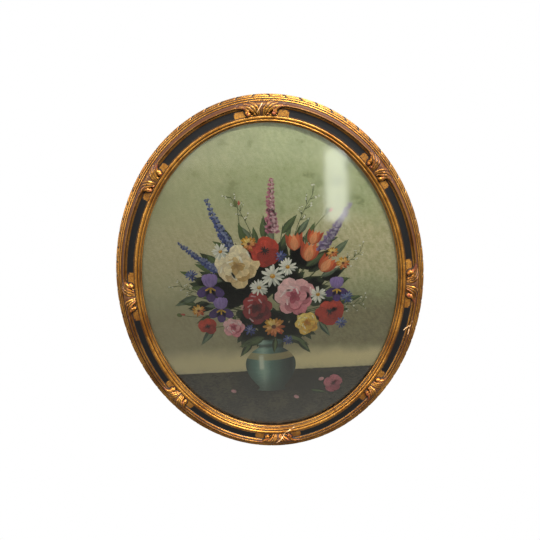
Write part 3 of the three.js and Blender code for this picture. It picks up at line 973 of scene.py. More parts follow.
def paint_ground():
    f = Finish("oil ground")
    parts = f.start.node("ShaderNodeSeparateXYZ", None, {0: f.place})
    x, up = parts / MM, (parts.other("Z") - CENTRE_Z) / MM
    lean = f.start.node("ShaderNodeMapping", None, {"Vector": f.place, "Rotation": (0, math.radians(24), 0)})
    strokes = f.grains(9, 3, 0.6, f.stretched(1.6, 1, 0.7, lean))
    short = f.grains(5, 3, 0.6, f.stretched(0.8, 1, 2.0))
    cloud, patch = f.grains(90, 2), f.grains(34, 3, 0.6)
    stroke = strokes * 0.6 + short * 0.4
    wander = (patch - 0.5) * 46 + (stroke - 0.5) * 30

    green = stroke.smooth(0.28, 0.72).mix(SAGE, SAGE_PALE)
    green = ((patch + stroke * 0.5).smooth(0.78, 0.98) * 0.8).mix(green, MOSS)
    green = (cloud.smooth(0.5, 0.7) * (0.0 - x + 40).smooth(0, 200) * 0.4).mix(green, MOSS)
    wall = (stroke.smooth(0.35, 0.65) * 0.5).mix(TAN, OLIVE_CREAM)
    warm = span(up + wander, 0.0, 108.0, 34)
    lower = 1.0 - (up + wander).smooth(-58, 22)
    bright = (0.0 - x + wander).smooth(-60, 190)
    pale = span(up + wander * 0.5, -150.0, -112.0, 16)
    body = (warm * 0.8).mix(green, stroke.smooth(0.3, 0.7).mix(OLIVE_CREAM, CREAM))
    body = (lower * 0.8).mix(body, wall)
    body = (pale * 0.9).mix(body, PALE_WALL)
    body = (bright * 0.4).mix(body, CREAM)
    edge = (up + (short - 0.5) * 2.2)
    table = 1.0 - edge.smooth(TABLE_UP - 0.8, TABLE_UP + 0.8)
    wood = short.smooth(0.36, 0.66).mix(TABLE_DARK, TABLE)
    wood = ((patch * 0.7 + short * 0.4).smooth(0.5, 0.66) * 0.7).mix(wood, TABLE_LIGHT)
    shadow = span(x + wander * 0.3, -58.0, 118.0, 22) * span(up, -190.0, -150.0, 9)
    wood = (shadow * 0.75).mix(wood, rgb(38, 35, 31))
    body = table.mix(body, wood)
    rough = 0.42 + stroke * 0.2
    return f.shade(body, rough, 0.0, stroke * 0.7 + f.grains(1.6, 2) * 0.3, 0.1)


dress("painting", paint_ground())

# %% [markdown]
# ## The painting: dabs of paint
# The flowers are thick paint, dab over dab, and each dab stands a hair proud of the one below. So they are real
# relief: a handful of dab shapes, and a Geometry Nodes tree that lays one of them on each place in a list, turned,
# stretched and tinted as the list says. What the brush does is written below as flowers and leaves, each of them
# a few loops that add places to the list. Every layer is a hundredth of a millimetre, and the whole stays well
# under the gap to the glass.

# %% Shapes of a dab
LAYER = 0.01 * MM
DAB_THICK = 0.02 * MM
DAB_WIDTHS = {  # half width along the dab, for a dab one unit long and one unit wide
    "1 daub": lambda f: math.sqrt(max(0.0, 1 - (2 * f - 1)**2)) / 2,
    "2 petal": lambda f: 0.5 * math.sin(math.pi * min(1, f**0.9 * 0.97)) ** 0.5,
    "3 blade": lambda f: 0.5 * math.sin(math.pi * f**0.8) * (1 - 0.25 * f),
    "4 stroke": lambda f: 0.5 * min(1.0, math.sqrt(max(0.0, 1 - (2 * f - 1)**8))),
    "5 frill": lambda f: 0.5 * math.sin(math.pi * min(1, f**1.15 * 0.96)) ** 0.5 * (1 + 0.08 * math.sin(19 * f)),
}
DAB_STATIONS = 8


def dab_shape(name, half_width):
    """A closed flat dab from x = 0 to 1, thin along y, with how far along and how far across it each point is."""
    points, along, side = [], [], []
    for y in (-DAB_THICK / 2, DAB_THICK / 2):
        for i in range(DAB_STATIONS):
            f = (1 - math.cos(math.pi * i / (DAB_STATIONS - 1))) / 2
            for k in (-1, 0, 1):
                swell = max(half_width(f), 0.02)
                points.append((f, y, k * swell))
                along.append(f)
                side.append(k)
    lower = DAB_STATIONS * 3
    faces = []
    for i in range(DAB_STATIONS - 1):
        for k in (0, 1):
            a = i * 3 + k
            faces.append((a, a + 3, a + 4, a + 1))
            faces.append((lower + a, lower + a + 1, lower + a + 4, lower + a + 3))
    rim = [i * 3 for i in range(DAB_STATIONS)] + [lower - 2]
    rim += [i * 3 + 2 for i in reversed(range(DAB_STATIONS))] + [1]
    for a, b in zip(rim, rim[1:] + rim[:1]):
        faces.append((b, a, a + lower, b + lower))
    return mesh_from(name, points, faces, {"along": along, "side": side})


def dab_shapes():
    """The dab shapes, in a collection of their own that a tree can pick from."""
    shapes = bpy.data.collections.new("dabs")
    for name, half_width in DAB_WIDTHS.items():
        shape = dab_shape(name, half_width)
        if volume_of(shape) < 0:
            shape.data.flip_normals()
        bpy.context.scene.collection.objects.unlink(shape)
        shapes.objects.link(shape)
    return shapes


DAUB, PETAL, BLADE, STROKE, FRILL = range(len(DAB_WIDTHS))
dabs = dab_shapes()


# %% The tree that lays the dabs
def dab_tree():
    tree, given = new_tree("dabs of paint", {
        "Places": "object", "Shapes": "collection", "Paint": "material"})
    start = Wire(tree)

    def named(title, kind="FLOAT"):
        return start.node("GeometryNodeInputNamedAttribute", {"data_type": kind}, {"Name": title})

    places = start.node("GeometryNodeObjectInfo", {"transform_space": "ORIGINAL"}, {
        "Object": given["Places"]}, "Geometry")
    shapes = start.node("GeometryNodeCollectionInfo", {"transform_space": "ORIGINAL"}, {
        "Collection": given["Shapes"], "Separate Children": True, "Reset Children": True})
    turn = start.node("ShaderNodeCombineXYZ", None, {1: 0.0 - named("turn")})
    size = start.node("ShaderNodeCombineXYZ", None, {0: named("reach"), 1: 1.0, 2: named("breadth")})
    laid = start.node("GeometryNodeInstanceOnPoints", None, {
        "Points": places, "Instance": shapes, "Pick Instance": True, "Instance Index": named("kind"),
        "Rotation": turn, "Scale": size})
    mesh = start.node("GeometryNodeRealizeInstances", None, {"Geometry": laid})
    mesh = start.node("GeometryNodeSetMaterial", None, {"Geometry": mesh, "Material": given["Paint"]})
    start.node("NodeGroupOutput", None, {0: mesh})
    return tree


def oil_paint():
    f = Finish("oil paint")
    tint = f.start.node("ShaderNodeAttribute", {"attribute_name": "tint"}, output="Color")
    along, side, number = f.reading("along"), f.reading("side"), f.reading("number")
    reach = f.reading("length")
    hair = f.start.node("ShaderNodeCombineXYZ", None, {0: along * reach * 0.12, 1: side * 2.6, 2: number * 7.3})
    bristle = f.start.node("ShaderNodeTexNoise", None, {"Vector": hair, "Scale": 1.0, "Detail": 2.0})
    shade = 0.72 + along * 0.3 + (bristle - 0.5) * 0.75 - abs(side) * abs(side) * 0.1
    grey = f.start.node("ShaderNodeCombineXYZ", None, {0: shade, 1: shade, 2: shade})
    body = f.start.node("ShaderNodeVectorMath", {"operation": "MULTIPLY"}, {0: tint, 1: grey})
    return f.shade(body, 0.34 + bristle * 0.2, 0.0, bristle, 0.06)


# %% A palette and a brush
class Brush:
    """Collects places for dabs. Places are millimetres right of the middle of the picture and above it."""

    def __init__(self, name, seed):
        self.name, self.random = name, np.random.default_rng(seed)
        self.rows = []

    def dab(self, kind, x, up, turn, reach, breadth, tint, layer):
        """One dab that starts at a place and goes off at turn degrees, in layer from 0 to about 20."""
        self.rows.append((kind, x, up, math.radians(turn), reach, breadth, *tint, layer))

    def near(self, value, spread):
        return value + self.random.uniform(-spread, spread)

    def mixed(self, first, second, amount, spread=0.12):
        """A colour between two, by about this amount, never twice the same."""
        f = min(1.0, max(0.0, self.near(amount, spread)))
        return tuple(a + f * (b - a) for a, b in zip(first, second))

    def line(self, points, width, tint, layer):
        """A thin stroke through the points, as dabs end to end that taper towards the last one."""
        for k, ((x0, u0), (x1, u1)) in enumerate(zip(points[:-1], points[1:])):
            reach = math.hypot(x1 - x0, u1 - u0) * 1.2 + width * 0.5
            taper = width * (1 - 0.5 * k / len(points))
            self.dab(STROKE, x0, u0, math.degrees(math.atan2(u1 - u0, x1 - x0)), reach, taper, tint, layer)

    def lay(self, tree, shapes, paint):
        """Runs the tree over the places and gives the finished piece."""
        table = np.array(self.rows, float)
        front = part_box("painting")[0].y - DAB_THICK / 2
        layer = np.clip(table[:, 9], 0, 21)
        points = np.stack([table[:, 1] * MM, front - (layer + 0.3) * LAYER, CENTRE_Z + table[:, 2] * MM], axis=1)
        reach, breadth = table[:, 4] * MM, table[:, 5] * MM
        places = mesh_from("places", points, [], {
            "kind": table[:, 0], "turn": table[:, 3], "reach": reach, "breadth": breadth,
            "length": table[:, 4], "number": np.arange(len(table)) % 97})
        tints = places.data.attributes.new("tint", "FLOAT_COLOR", "POINT")
        tints.data.foreach_set("color", np.column_stack([table[:, 6:9], np.ones(len(table))]).ravel())
        piece = grow(self.name, tree, {"Places": places, "Shapes": shapes, "Paint": paint})
        bpy.data.objects.remove(places)
        print(f"{self.name}: {len(table)} dabs")
        return report(piece)


# %% Flowers and leaves
LIGHT_FROM = 125.0  # degrees, where the light in the picture comes from


def lit(turn):
    """How bright a petal is that points at turn degrees: 1 towards the light, 0 away from it."""
    return (1 + math.cos(math.radians(turn - LIGHT_FROM))) / 2


def petals(b, x, up, radius, count, size, colours, layer, kind=PETAL, start=0.0, inner=0.0, wide=0.75):
    """A ring of petals round a middle, lighter towards the light."""
    for k in range(count):
        turn = start + 360 * k / count + b.near(0, 140 / count)
        out = radius * inner
        x0, u0 = x + out * math.cos(math.radians(turn)), up + out * math.sin(math.radians(turn))
        tint = b.mixed(colours[0], colours[1], lit(turn) * 0.8 + 0.1)
        reach = b.near(size, size * 0.12)
        b.dab(kind, x0, u0, turn, reach, reach * wide, tint, layer + (k % 3))


def peony(b, x, up, radius, colours, layer):
    """A full round bloom: rings of broad petals that close towards a deep middle."""
    deep, mid, pale = colours
    b.dab(DAUB, x - radius * 0.8, up, 0, radius * 1.6, radius * 1.6, mid, layer)
    petals(b, x, up, radius, 8, radius * 0.95, (mid, pale), layer + 1, FRILL, 10, 0.05, 0.85)
    petals(b, x, up, radius, 7, radius * 0.78, (deep, pale), layer + 4, FRILL, 40, 0.0, 0.9)
    petals(b, x, up, radius, 6, radius * 0.6, (mid, pale), layer + 7, FRILL, 75, 0.0, 0.9)
    petals(b, x - radius * 0.04, up + radius * 0.05, radius, 5, radius * 0.42, (deep, mid), layer + 10, PETAL, 20)
    petals(b, x - radius * 0.04, up + radius * 0.05, radius, 4, radius * 0.24, (deep, deep), layer + 12, PETAL, 50)
    for _ in range(7):
        turn = b.near(LIGHT_FROM, 120)
        out = radius * b.near(0.55, 0.3)
        px, pu = x + out * math.cos(math.radians(turn)), up + out * math.sin(math.radians(turn))
        b.dab(STROKE, px, pu, turn + 80, radius * 0.34, radius * 0.09, b.mixed(pale, (1, 1, 1), 0.35), layer + 13)


def daisy(b, x, up, radius, colours, layer):
    """Narrow rays round a raised yellow eye."""
    rays, shade, eye = colours
    petals(b, x, up, radius, 13, radius, (shade, rays), layer, PETAL, b.near(0, 12), 0.15, 0.3)
    petals(b, x, up, radius, 9, radius * 0.9, (rays, rays), layer + 3, PETAL, b.near(15, 12), 0.15, 0.26)
    b.dab(DAUB, x - radius * 0.27, up, 0, radius * 0.54, radius * 0.5, eye, layer + 6)
    b.dab(DAUB, x - radius * 0.2, up + radius * 0.07, 20, radius * 0.3, radius * 0.2, b.mixed(eye, (1, 0.9, 0.4), 0.5),
          layer + 7)


def poppy(b, x, up, radius, colours, layer, start=20):
    """Four or five broad crumpled petals and a dark middle."""
    deep, bright, dark = colours
    petals(b, x, up, radius, 5, radius * 1.02, (deep, bright), layer, FRILL, start, 0.0, 1.15)
    petals(b, x, up, radius, 4, radius * 0.7, (deep, bright), layer + 4, FRILL, start + 40, 0.0, 1.1)
    for k in range(9):
        turn = k * 40 + b.near(0, 12)
        b.dab(STROKE, x, up, turn, radius * 0.3, radius * 0.07, dark, layer + 7)
    b.dab(DAUB, x - radius * 0.13, up, 0, radius * 0.26, radius * 0.24, dark, layer + 8)


def tulip(b, x, up, size, turn, colours, layer):
    """A cup of upright petals seen from the side."""
    deep, bright, pale = colours
    for k, (off, tint) in enumerate([(-26, deep), (26, deep), (-13, bright), (14, bright), (0, pale)]):
        b.dab(BLADE, x, up, turn + off, size * (1 - 0.04 * k), size * 0.46, b.mixed(tint, bright, 0.2), layer + 2 * k)


def iris(b, x, up, size, colours, layer):
    """Three standards, three falls with a yellow signal."""
    deep, mid, pale = colours
    for turn in (70, 112, 92):
        b.dab(FRILL, x, up, turn, size, size * 0.66, b.mixed(mid, pale, lit(turn)), layer + turn % 3)
    for turn in (-150, -35, -92):
        b.dab(FRILL, x, up, turn, size * 1.05, size * 0.7, b.mixed(deep, mid, 0.5), layer + 4)
        b.dab(STROKE, x, up, turn, size * 0.42, size * 0.12, rgb(226, 178, 60), layer + 7)


def along_curve(start, turn, length, bend, steps):
    """Points along a stem that starts at a place and bends by so many degrees over its length."""
    x, up = start
    out = [(x, up, turn)]
    for k in range(steps):
        turn += bend / steps
        x += math.cos(math.radians(turn)) * length / steps
        up += math.sin(math.radians(turn)) * length / steps
        out.append((x, up, turn))
    return out


def spire(b, start, turn, length, bend, size, colours, layer, stem=rgb(70, 84, 48)):
    """A tall spike of small blooms that shrink to buds at the tip."""
    line = along_curve(start, turn, length, bend, 13)
    b.line([(x, up) for x, up, _ in line], 2.0, stem, layer)
    deep, mid, pale = colours
    for k, (x, up, way) in enumerate(line[1:]):
        small = size * (1.05 - 0.72 * k / len(line))
        for side in (-1, 1, -0.4, 0.5):
            px = x + b.near(side * small * 0.62, 0.8)
            pu = up + b.near(0, 1.6)
            petals(b, px, pu, small, 4, small * 0.62, (deep, pale if side > 0 else mid), layer + 1 + k % 3, PETAL,
                   b.near(0, 40), 0.0, 0.85)


def leaf(b, x, up, turn, length, colours, layer, wide=0.36):
    """A leaf in two tones, split by its midrib."""
    dark, light = colours
    tint = b.mixed(dark, light, lit(turn) * 0.6)
    b.dab(BLADE, x, up, turn, length, length * wide, tint, layer)
    b.dab(BLADE, x, up, turn + 4, length * 0.9, length * wide * 0.42, b.mixed(dark, light, 0.75), layer + 1)
    b.line([(x, up), (x + math.cos(math.radians(turn)) * length * 0.8, up + math.sin(math.radians(turn)) * length * 0.8)],
           0.7, b.mixed(dark, light, 0.95), layer + 2)


def spray(b, start, turn, length, bend, tint, stem, layer, dots=16, size=2.4):
    """A thin branching stem with dots of bloom at its ends."""
    line = along_curve(start, turn, length, bend, 8)
    b.line([(x, up) for x, up, _ in line], 1.1, stem, layer)
    for k in range(dots):
        x, up, way = line[3 + k % 6]
        side = 1 if k % 2 else -1
        reach = b.near(11, 5)
        angle = way + side * b.near(38, 18)
        px, pu = x + math.cos(math.radians(angle)) * reach, up + math.sin(math.radians(angle)) * reach
        b.line([(x, up), (px, pu)], 0.6, stem, layer)
        r = b.near(size, size * 0.35)
        b.dab(DAUB, px - r / 2, pu, b.near(0, 60), r, r * 0.85, b.mixed(tint, (1, 1, 1), 0.2, 0.2), layer + 1)

# %% [markdown]
# ## The painting: the bouquet
# Greenery goes down first, dark in the middle and opening out to single leaves and sprays at the edges. Tall
# spires and light sprays stand out against the ground, and the full blooms come last, the largest near the
# middle, with small ones between them to lead the eye round.

# %% Greenery
STEM = rgb(78, 92, 54)
LEAF_DARK, LEAF_LIGHT = rgb(38, 52, 32), rgb(104, 126, 72)
GREY_DARK, GREY_LIGHT = rgb(62, 82, 68), rgb(134, 150, 118)
NECK = (-6.0, -88.0)  # where the stems come together, at the mouth of the jar

greens = Brush("painted_greenery", 11)
for number in range(150):  # the dark mass behind the blooms
    way = greens.near(90, 100)
    out = greens.near(38, 38)
    px = -2 + out * 1.25 * math.cos(math.radians(way))
    pu = -18 + out * math.sin(math.radians(way))
    greens.dab(BLADE, px, pu, way, greens.near(36, 9), greens.near(19, 5), greens.mixed(LEAF_DARK, STEM, 0.3), 0)
for number in range(110):  # and its lower half, down to the mouth of the jar
    px, pu = greens.near(-2, 52), greens.near(-56, 26)
    greens.dab(BLADE, px, pu, greens.near(-90, 75), greens.near(25, 7), greens.near(14, 4),
               greens.mixed(LEAF_DARK, STEM, 0.3), 0)
for number in range(44):  # leaves that reach out of it
    way = -42 + 264 * number / 43 + greens.near(0, 4)
    out = greens.near(72, 12) if number % 2 else greens.near(92, 13)
    px = -2 + out * 1.18 * math.cos(math.radians(way))
    pu = -6 + out * math.sin(math.radians(way))
    pair = (LEAF_DARK, LEAF_LIGHT) if number % 3 else (GREY_DARK, GREY_LIGHT)
    greens.line([(px * 0.4, pu * 0.5 - 30), (px, pu)], 1.4, STEM, 0)
    leaf(greens, px, pu, way + greens.near(0, 32), greens.near(31, 8), pair, 1)
for x, up, way, length in [(-14, -86, 200, 44), (22, -84, -28, 40), (-34, -92, 232, 34), (40, -92, -52, 32),
                           (4, -88, 262, 27)]:
    leaf(greens, x, up, way, length, (LEAF_DARK, LEAF_LIGHT), 4, 0.4)

# %% Sprays and spires
spires = Brush("painted_spires", 23)
BLUES = rgb(52, 62, 128), rgb(98, 112, 178), rgb(160, 172, 214)
PINKS = rgb(168, 82, 112), rgb(214, 138, 158), rgb(240, 198, 204)
LILACS = rgb(110, 86, 140), rgb(160, 140, 186), rgb(204, 192, 218)
spire(spires, (-52, 58), 121, 92, -14, 8.2, BLUES, 2)
spire(spires, (-78, 30), 146, 74, -10, 7.4, BLUES, 2)
spire(spires, (8, 86), 96, 82, -12, 8.6, PINKS, 2)
spire(spires, (78, 56), 50, 84, 12, 8.0, LILACS, 2)
for start, way, length, bend, dots in [((-24, 84), 108, 66, 12, 18), ((40, 80), 74, 70, -16, 20),
                                       ((96, 22), 22, 54, 20, 16), ((-100, -8), 168, 46, -18, 14),
                                       ((92, -34), -12, 52, 24, 14)]:
    spray(spires, start, way, length, bend, rgb(226, 224, 206), STEM, 1, dots)
for start, way, length in [((-34, 70), 112, 62), ((60, 74), 66, 52), ((-96, -44), 190, 44)]:
    line = along_curve(start, way, length, -24, 7)
    spires.line([(x, up) for x, up, _ in line], 1.3, STEM, 1)
    x, up, way = line[-1]
    spires.dab(DAUB, x - 3, up, way, 9, 6.5, rgb(116, 128, 76), 2)  # a bud still closed
    spires.dab(BLADE, x + 2, up + 1, way, 8, 4, rgb(206, 96, 84), 3)


# %% Blooms
CREAMS = rgb(196, 158, 96), rgb(230, 204, 150), rgb(248, 238, 208)
ROSE = rgb(176, 74, 96), rgb(222, 132, 146), rgb(246, 206, 206)
CRIMSON = rgb(78, 16, 24), rgb(128, 30, 38), rgb(176, 58, 60)
GOLDEN = rgb(196, 126, 34), rgb(228, 176, 60), rgb(248, 224, 128)
SCARLET = rgb(150, 34, 26), rgb(214, 74, 50), rgb(34, 20, 24)
CORAL = rgb(176, 62, 36), rgb(224, 112, 62), rgb(244, 168, 112)
VIOLET = rgb(58, 34, 92), rgb(98, 66, 146), rgb(158, 132, 196)
WHITE_RAY, RAY_SHADE, EYE = rgb(246, 244, 232), rgb(196, 200, 190), rgb(214, 152, 36)

blooms = Brush("painted_blooms", 37)
for x, up, size, way in [(58, 40, 35, 74), (80, 22, 32, 52), (40, 58, 31, 92), (66, 66, 27, 70)]:
    tulip(blooms, x, up, size, way, CORAL, 3)
for x, up, size in [(-94, 4, 23), (-80, -34, 21), (104, -8, 20)]:
    iris(blooms, x, up, size, VIOLET, 3)
peony(blooms, -50, 36, 33, CREAMS, 5)
peony(blooms, 36, -18, 32, ROSE, 6)
peony(blooms, -24, -34, 26, CRIMSON, 6)
peony(blooms, 56, -64, 20, GOLDEN, 6)
peony(blooms, -62, -66, 17, ROSE, 6)
poppy(blooms, -6, 60, 24, SCARLET, 5)
poppy(blooms, 92, -46, 21, SCARLET, 5, 50)
poppy(blooms, -104, -62, 15, SCARLET, 5, 5)
for x, up, radius in [(4, 18, 15.5), (-18, 0, 12.5), (28, 32, 12.5), (-74, 62, 11), (74, -16, 12)]:
    daisy(blooms, x, up, radius, (WHITE_RAY, RAY_SHADE, EYE), 8)
for x, up, radius in [(2, -68, 16), (-30, 72, 11), (114, 34, 9.5), (-116, -34, 9), (98, 52, 8)]:
    petals(blooms, x, up, radius, 14, radius, (CORAL[0], GOLDEN[1]), 6, PETAL, 0, 0.1, 0.36)
    petals(blooms, x, up, radius, 11, radius * 0.68, (CORAL[1], GOLDEN[2]), 9, PETAL, 12, 0.1, 0.4)
    blooms.dab(DAUB, x - radius * 0.24, up, 0, radius * 0.48, radius * 0.44, rgb(110, 56, 22), 12)
for x, up, radius in [(120, -22, 9), (110, -66, 8), (-122, 26, 8.5), (-36, -72, 8), (24, -92, 7.5), (18, 50, 8)]:
    petals(blooms, x, up, radius, 12, radius, (BLUES[0], BLUES[1]), 6, STROKE, 0, 0.15, 0.24)
    petals(blooms, x, up, radius, 8, radius * 0.6, (rgb(40, 44, 110), BLUES[2]), 9, STROKE, 20, 0.1, 0.26)

# %% What has fallen on the table
poppy(blooms, 96, -176, 15, (ROSE[0], ROSE[1], rgb(96, 40, 50)), 3, 30)
leaf(blooms, 58, -186, -14, 27, (LEAF_DARK, LEAF_LIGHT), 3)
for x, up, turn in [(72, -168, 20), (-66, -184, 160), (30, -196, -30)]:
    blooms.dab(PETAL, x, up, turn, 9, 6.5, blooms.mixed(ROSE[1], ROSE[2], 0.5), 3)

# %% The jar
JAR_X = NECK[0]
JAR = [(17, -90), (21, -92), (21.5, -95), (18.5, -99), (19, -104), (30, -112), (39, -124), (41, -138),
       (37, -153), (29, -166), (22, -175), (21, -179), (25, -183)]  # half width and height of its outline
JAR_LAYER = 3


def jar_paint():
    f = Finish("oil paint of the jar")
    parts = f.start.node("ShaderNodeSeparateXYZ", None, {0: f.place})
    x, up = parts / MM - JAR_X, (parts.other("Z") - CENTRE_Z) / MM
    stroke = f.grains(4, 3, 0.6, f.stretched(0.5, 1, 2.2))
    turn = x + (stroke - 0.5) * 9
    tones = [(0.0, rgb(52, 74, 70)), (0.2, rgb(104, 140, 130)), (0.36, rgb(164, 192, 178)),
             (0.5, rgb(98, 132, 122)), (0.74, rgb(58, 78, 72)), (0.9, rgb(36, 46, 44)), (1.0, rgb(66, 84, 78))]
    body = f.start.node("ShaderNodeValToRGB", {"stops": tones}, {0: (turn + 42) / 84})
    band = span(up + abs(x) * abs(x) * -0.004, -128.0, -116.0, 0.9)
    body = (band * (0.35 + stroke * 0.5)).mix(body, rgb(196, 176, 120))
    glint = (1.0 - abs(x + 15).smooth(1.5, 5.5)) * span(up + stroke * 6, -141.0, -116.0, 3)
    body = (glint * 0.8).mix(body, rgb(226, 232, 214))
    low = 1.0 - (up + stroke * 12).smooth(-180, -140)
    body = (low * 0.7).mix(body, rgb(38, 44, 40))
    neck = span(up + stroke * 3, -103.0, -97.0, 2)
    body = (neck * 0.7).mix(body, rgb(34, 44, 40))
    return f.shade(body, 0.35 + stroke * 0.15, 0.0, stroke, 0.08)


def make_jar():
    """The jar as one flat layer of paint with a smooth outline, closed front and back."""
    outline = smooth_line([(w, up, 0) for w, up in JAR], 4)
    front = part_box("painting")[0].y
    points, faces = [], []
    for y in (front - JAR_LAYER * LAYER, front - JAR_LAYER * LAYER - DAB_THICK):
        for w, up, _ in outline:
            for side in (-1, 0, 1):
                bow = 2.4 * (1 - side * side) if up in (outline[0][1], outline[-1][1]) else 0
                points.append(((JAR_X + side * w) * MM, y, CENTRE_Z + (up - bow) * MM))
    rows = len(outline)
    top = rows * 3
    for i in range(rows - 1):
        for k in (0, 1):
            a = i * 3 + k
            faces.append((a, a + 3, a + 4, a + 1))
            faces.append((top + a, top + a + 1, top + a + 4, top + a + 3))
    rim = [i * 3 for i in range(rows)] + [top - 2] + [i * 3 + 2 for i in reversed(range(rows))] + [1]
    for a, b in zip(rim, rim[1:] + rim[:1]):
        faces.append((b, a, a + top, b + top))
    jar = mesh_from("painted_jar", points, faces)
    if volume_of(jar) < 0:
        jar.data.flip_normals()
    jar.data.materials.append(jar_paint())
    return report(jar)


# %% Lay the paint
paint = oil_paint()
laying = dab_tree()
picture = [make_jar()]
for brush in (greens, spires, blooms):
    picture.append(brush.lay(laying, dabs, paint))

# %% [markdown]
# ## The back
# Behind, the frame is bare wood. A brass keyhole plate lies in a pocket at the top, a hole behind its keyhole
# leaves room for the head of the wall screw, and steel points pushed into the side of the rebate hold the backing
# board. The pockets are cut out of the moulding with booleans, as a router and a drill would cut them.


# %% Cutters for the back
def block(t, along, w_range, h_range):
    """A box at a place on the oval: its length along the rail, and its reach across and through it."""
    h = sum(h_range) / 2
    inner, middle_point, outer = on_oval(t, [w_range[0], sum(w_range) / 2, w_range[1]], h)
    lean = math.atan2(outer[0] - inner[0], outer[2] - inner[2])
    size = (along * MM, (h_range[1] - h_range[0]) * MM, (w_range[1] - w_range[0]) * MM, 1)
    shape = bmesh.new()
    matrix = Matrix.Translation(middle_point) @ Matrix.Rotation(lean, 4, "Y") @ Matrix.Diagonal(size)
    bmesh.ops.create_cube(shape, size=1, matrix=matrix)
    return shape


def bore(x, up, radius, h_range):
    """A round bar square to the back, at a place right of the middle and above it."""
    y = SIGHT_Y - sum(h_range) / 2 * MM
    shape = bmesh.new()
    matrix = Matrix.Translation((x * MM, y, CENTRE_Z + up * MM)) @ Matrix.Rotation(math.pi / 2, 4, "X")
    bmesh.ops.create_cone(shape, cap_ends=True, segments=32, radius1=radius * MM, radius2=radius * MM,
                          depth=(h_range[1] - h_range[0]) * MM, matrix=matrix)
    return shape


def cut_away(piece, shapes):
    """Takes each of the shapes out of the piece."""
    cutters = []
    for shape in shapes:
        mesh = bpy.data.meshes.new("cutter")
        shape.to_mesh(mesh)
        shape.free()
        cutter = as_object("cutter", mesh)
        cutters.append(cutter)
        modifier = piece.modifiers.new("cut", "BOOLEAN")
        modifier.operation, modifier.solver, modifier.object = "DIFFERENCE", "MANIFOLD", cutter
    graph = bpy.context.evaluated_depsgraph_get()
    mesh = bpy.data.meshes.new_from_object(piece.evaluated_get(graph), preserve_all_data_layers=True,
                                           depsgraph=graph)
    piece.modifiers.clear()
    piece.data = mesh
    for cutter in cutters:
        bpy.data.objects.remove(cutter)


# %% Pockets, holes and slots
PLAY = 0.3  # room round each fitting
plate_low, plate_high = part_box("hanger_plate")
PLATE_ALONG = (plate_high.x - plate_low.x) / MM
PLATE_W = ((plate_low.z + plate_high.z) / 2 - CENTRE_Z) / MM - SIGHT_Z
PLATE_ACROSS = (plate_high.z - plate_low.z) / MM
PLATE_DEEP = (plate_high.y - plate_low.y) / MM
KEY_UP, KEY_RADIUS, SLOT_RADIUS, SLOT_LONG, KEY_DEEP = PLATE_W - 1 + SIGHT_Z, 4.5, 2.5, 5, 6.5
POINT_IN = 9.8  # how far from the sight edge the slots of the points reach


def screw_places():
    """The middle of each screw, right of the middle and above it, and how deep it goes."""
    places = []
    for node in ("hanger_screw_left", "hanger_screw_right"):
        low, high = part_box(node)
        places.append(((low.x + high.x) / 2 / MM, ((low.z + high.z) / 2 - CENTRE_Z) / MM, (high.y - low.y) / MM))
    return places


def fittings_of_the_back():
    w_range = (PLATE_W - PLATE_ACROSS / 2 - PLAY, PLATE_W + PLATE_ACROSS / 2 + PLAY)
    deep = (BACK_H - 1, BACK_H + KEY_DEEP)
    key_w = KEY_UP - SIGHT_Z
    shapes = [block(0, PLATE_ALONG + 2 * PLAY, w_range, (BACK_H - 1, BACK_H + PLATE_DEEP + PLAY)),
              bore(0, KEY_UP, KEY_RADIUS, deep), bore(0, KEY_UP + SLOT_LONG, SLOT_RADIUS, deep),
              block(0, 2 * SLOT_RADIUS, (key_w, key_w + SLOT_LONG), deep)]
    for x, up, deep_in in screw_places():
        shapes.append(bore(x, up, 1.4, (BACK_H - 1, BACK_H + deep_in + PLAY)))
    for number in range(8):
        low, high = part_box(f"glazing_point_{number + 1}")
        h_range = ((SIGHT_Y - high.y) / MM - PLAY, (SIGHT_Y - low.y) / MM + PLAY)
        shapes.append(block((number + 0.5) * math.pi / 4, 8 + 2 * PLAY, (4, POINT_IN), h_range))
    return shapes


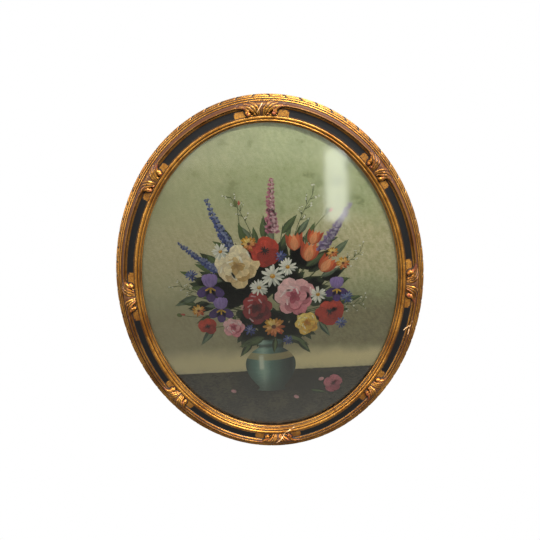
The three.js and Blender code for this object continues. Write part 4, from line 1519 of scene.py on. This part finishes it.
def mend_readings(piece):
    """Points that a cut has made, which carry no readings yet, get the rise of the back and the across of the hanger
    plate.
    """
    mesh = piece.data
    count = len(mesh.vertices)
    places, rise, across = np.empty(count * 3, np.float32), np.empty(count, np.float32), np.empty(count, np.float32)
    mesh.vertices.foreach_get("co", places)
    mesh.attributes["rise"].data.foreach_get("value", rise)
    mesh.attributes["across"].data.foreach_get("value", across)
    new = (rise == 0) & (across == 0)
    rise[new] = BACK_H
    across[new] = PLATE_W
    mesh.attributes["rise"].data.foreach_set("value", rise)
    mesh.attributes["across"].data.foreach_set("value", across)
    return int(new.sum())


cut_away(moulding, fittings_of_the_back())
print("new points:", mend_readings(moulding), [a.name for a in moulding.data.attributes if a.name in ("rise", "around")])
report(moulding)

# %% [markdown]
# ## Finishes of the back
# Hardboard is pressed from brown fibre, a little mottled and dusty. The points are blued steel strip, and the
# plate and its screws are brass that has gone brown in the corners.


# %% Hardboard, steel and brass
def hardboard():
    f = Finish("hardboard")
    fibre = f.grains(1.4, 4, 0.7, f.stretched(0.5, 1, 1.6))
    stain, dust = f.grains(70, 3), f.grains(14, 3, 0.6)
    body = fibre.smooth(0.32, 0.68).mix(rgb(96, 66, 40), rgb(142, 106, 68))
    body = (stain.smooth(0.52, 0.66) * 0.45).mix(body, rgb(70, 50, 34))
    body = (dust.smooth(0.55, 0.7) * 0.3).mix(body, rgb(168, 150, 122))
    return f.shade(body, 0.78 + fibre * 0.15, 0.0, fibre, 0.12)


def metal_finish(name, bright, dull, size):
    f = Finish(name)
    cloud, scratch = f.grains(size, 4, 0.6), f.grains(0.5, 2, 0.5, f.stretched(0.15, 1, 2))
    worn = (cloud * 0.7 + scratch * 0.4).smooth(0.45, 0.65)
    body = worn.mix(bright, dull)
    return f.shade(body, 0.28 + worn * 0.3 + scratch * 0.1, 0.95 - worn * 0.35, scratch, 0.04)


steel = metal_finish("blued steel", rgb(150, 152, 156), rgb(78, 74, 70), 3)
brass = metal_finish("aged brass", rgb(206, 170, 92), rgb(104, 78, 40), 4)
dress("backing_board", hardboard())
for number in range(8):
    dress(f"glazing_point_{number + 1}", steel)
for node in ("hanger_plate", "hanger_screw_left", "hanger_screw_right"):
    dress(node, brass)

# %% [markdown]
# ## Join the pieces to the frame
# The moulding and the leaves stand in for the imported frame, and the paint goes with the board it lies on.

# %% Ride with the frame
for piece in (moulding, *leaves):
    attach(piece, "root")
    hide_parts("frame")
for piece in picture:
    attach(piece, "root")


def plain(box):
    return [[round(float(v), 6) for v in corner] for corner in box]
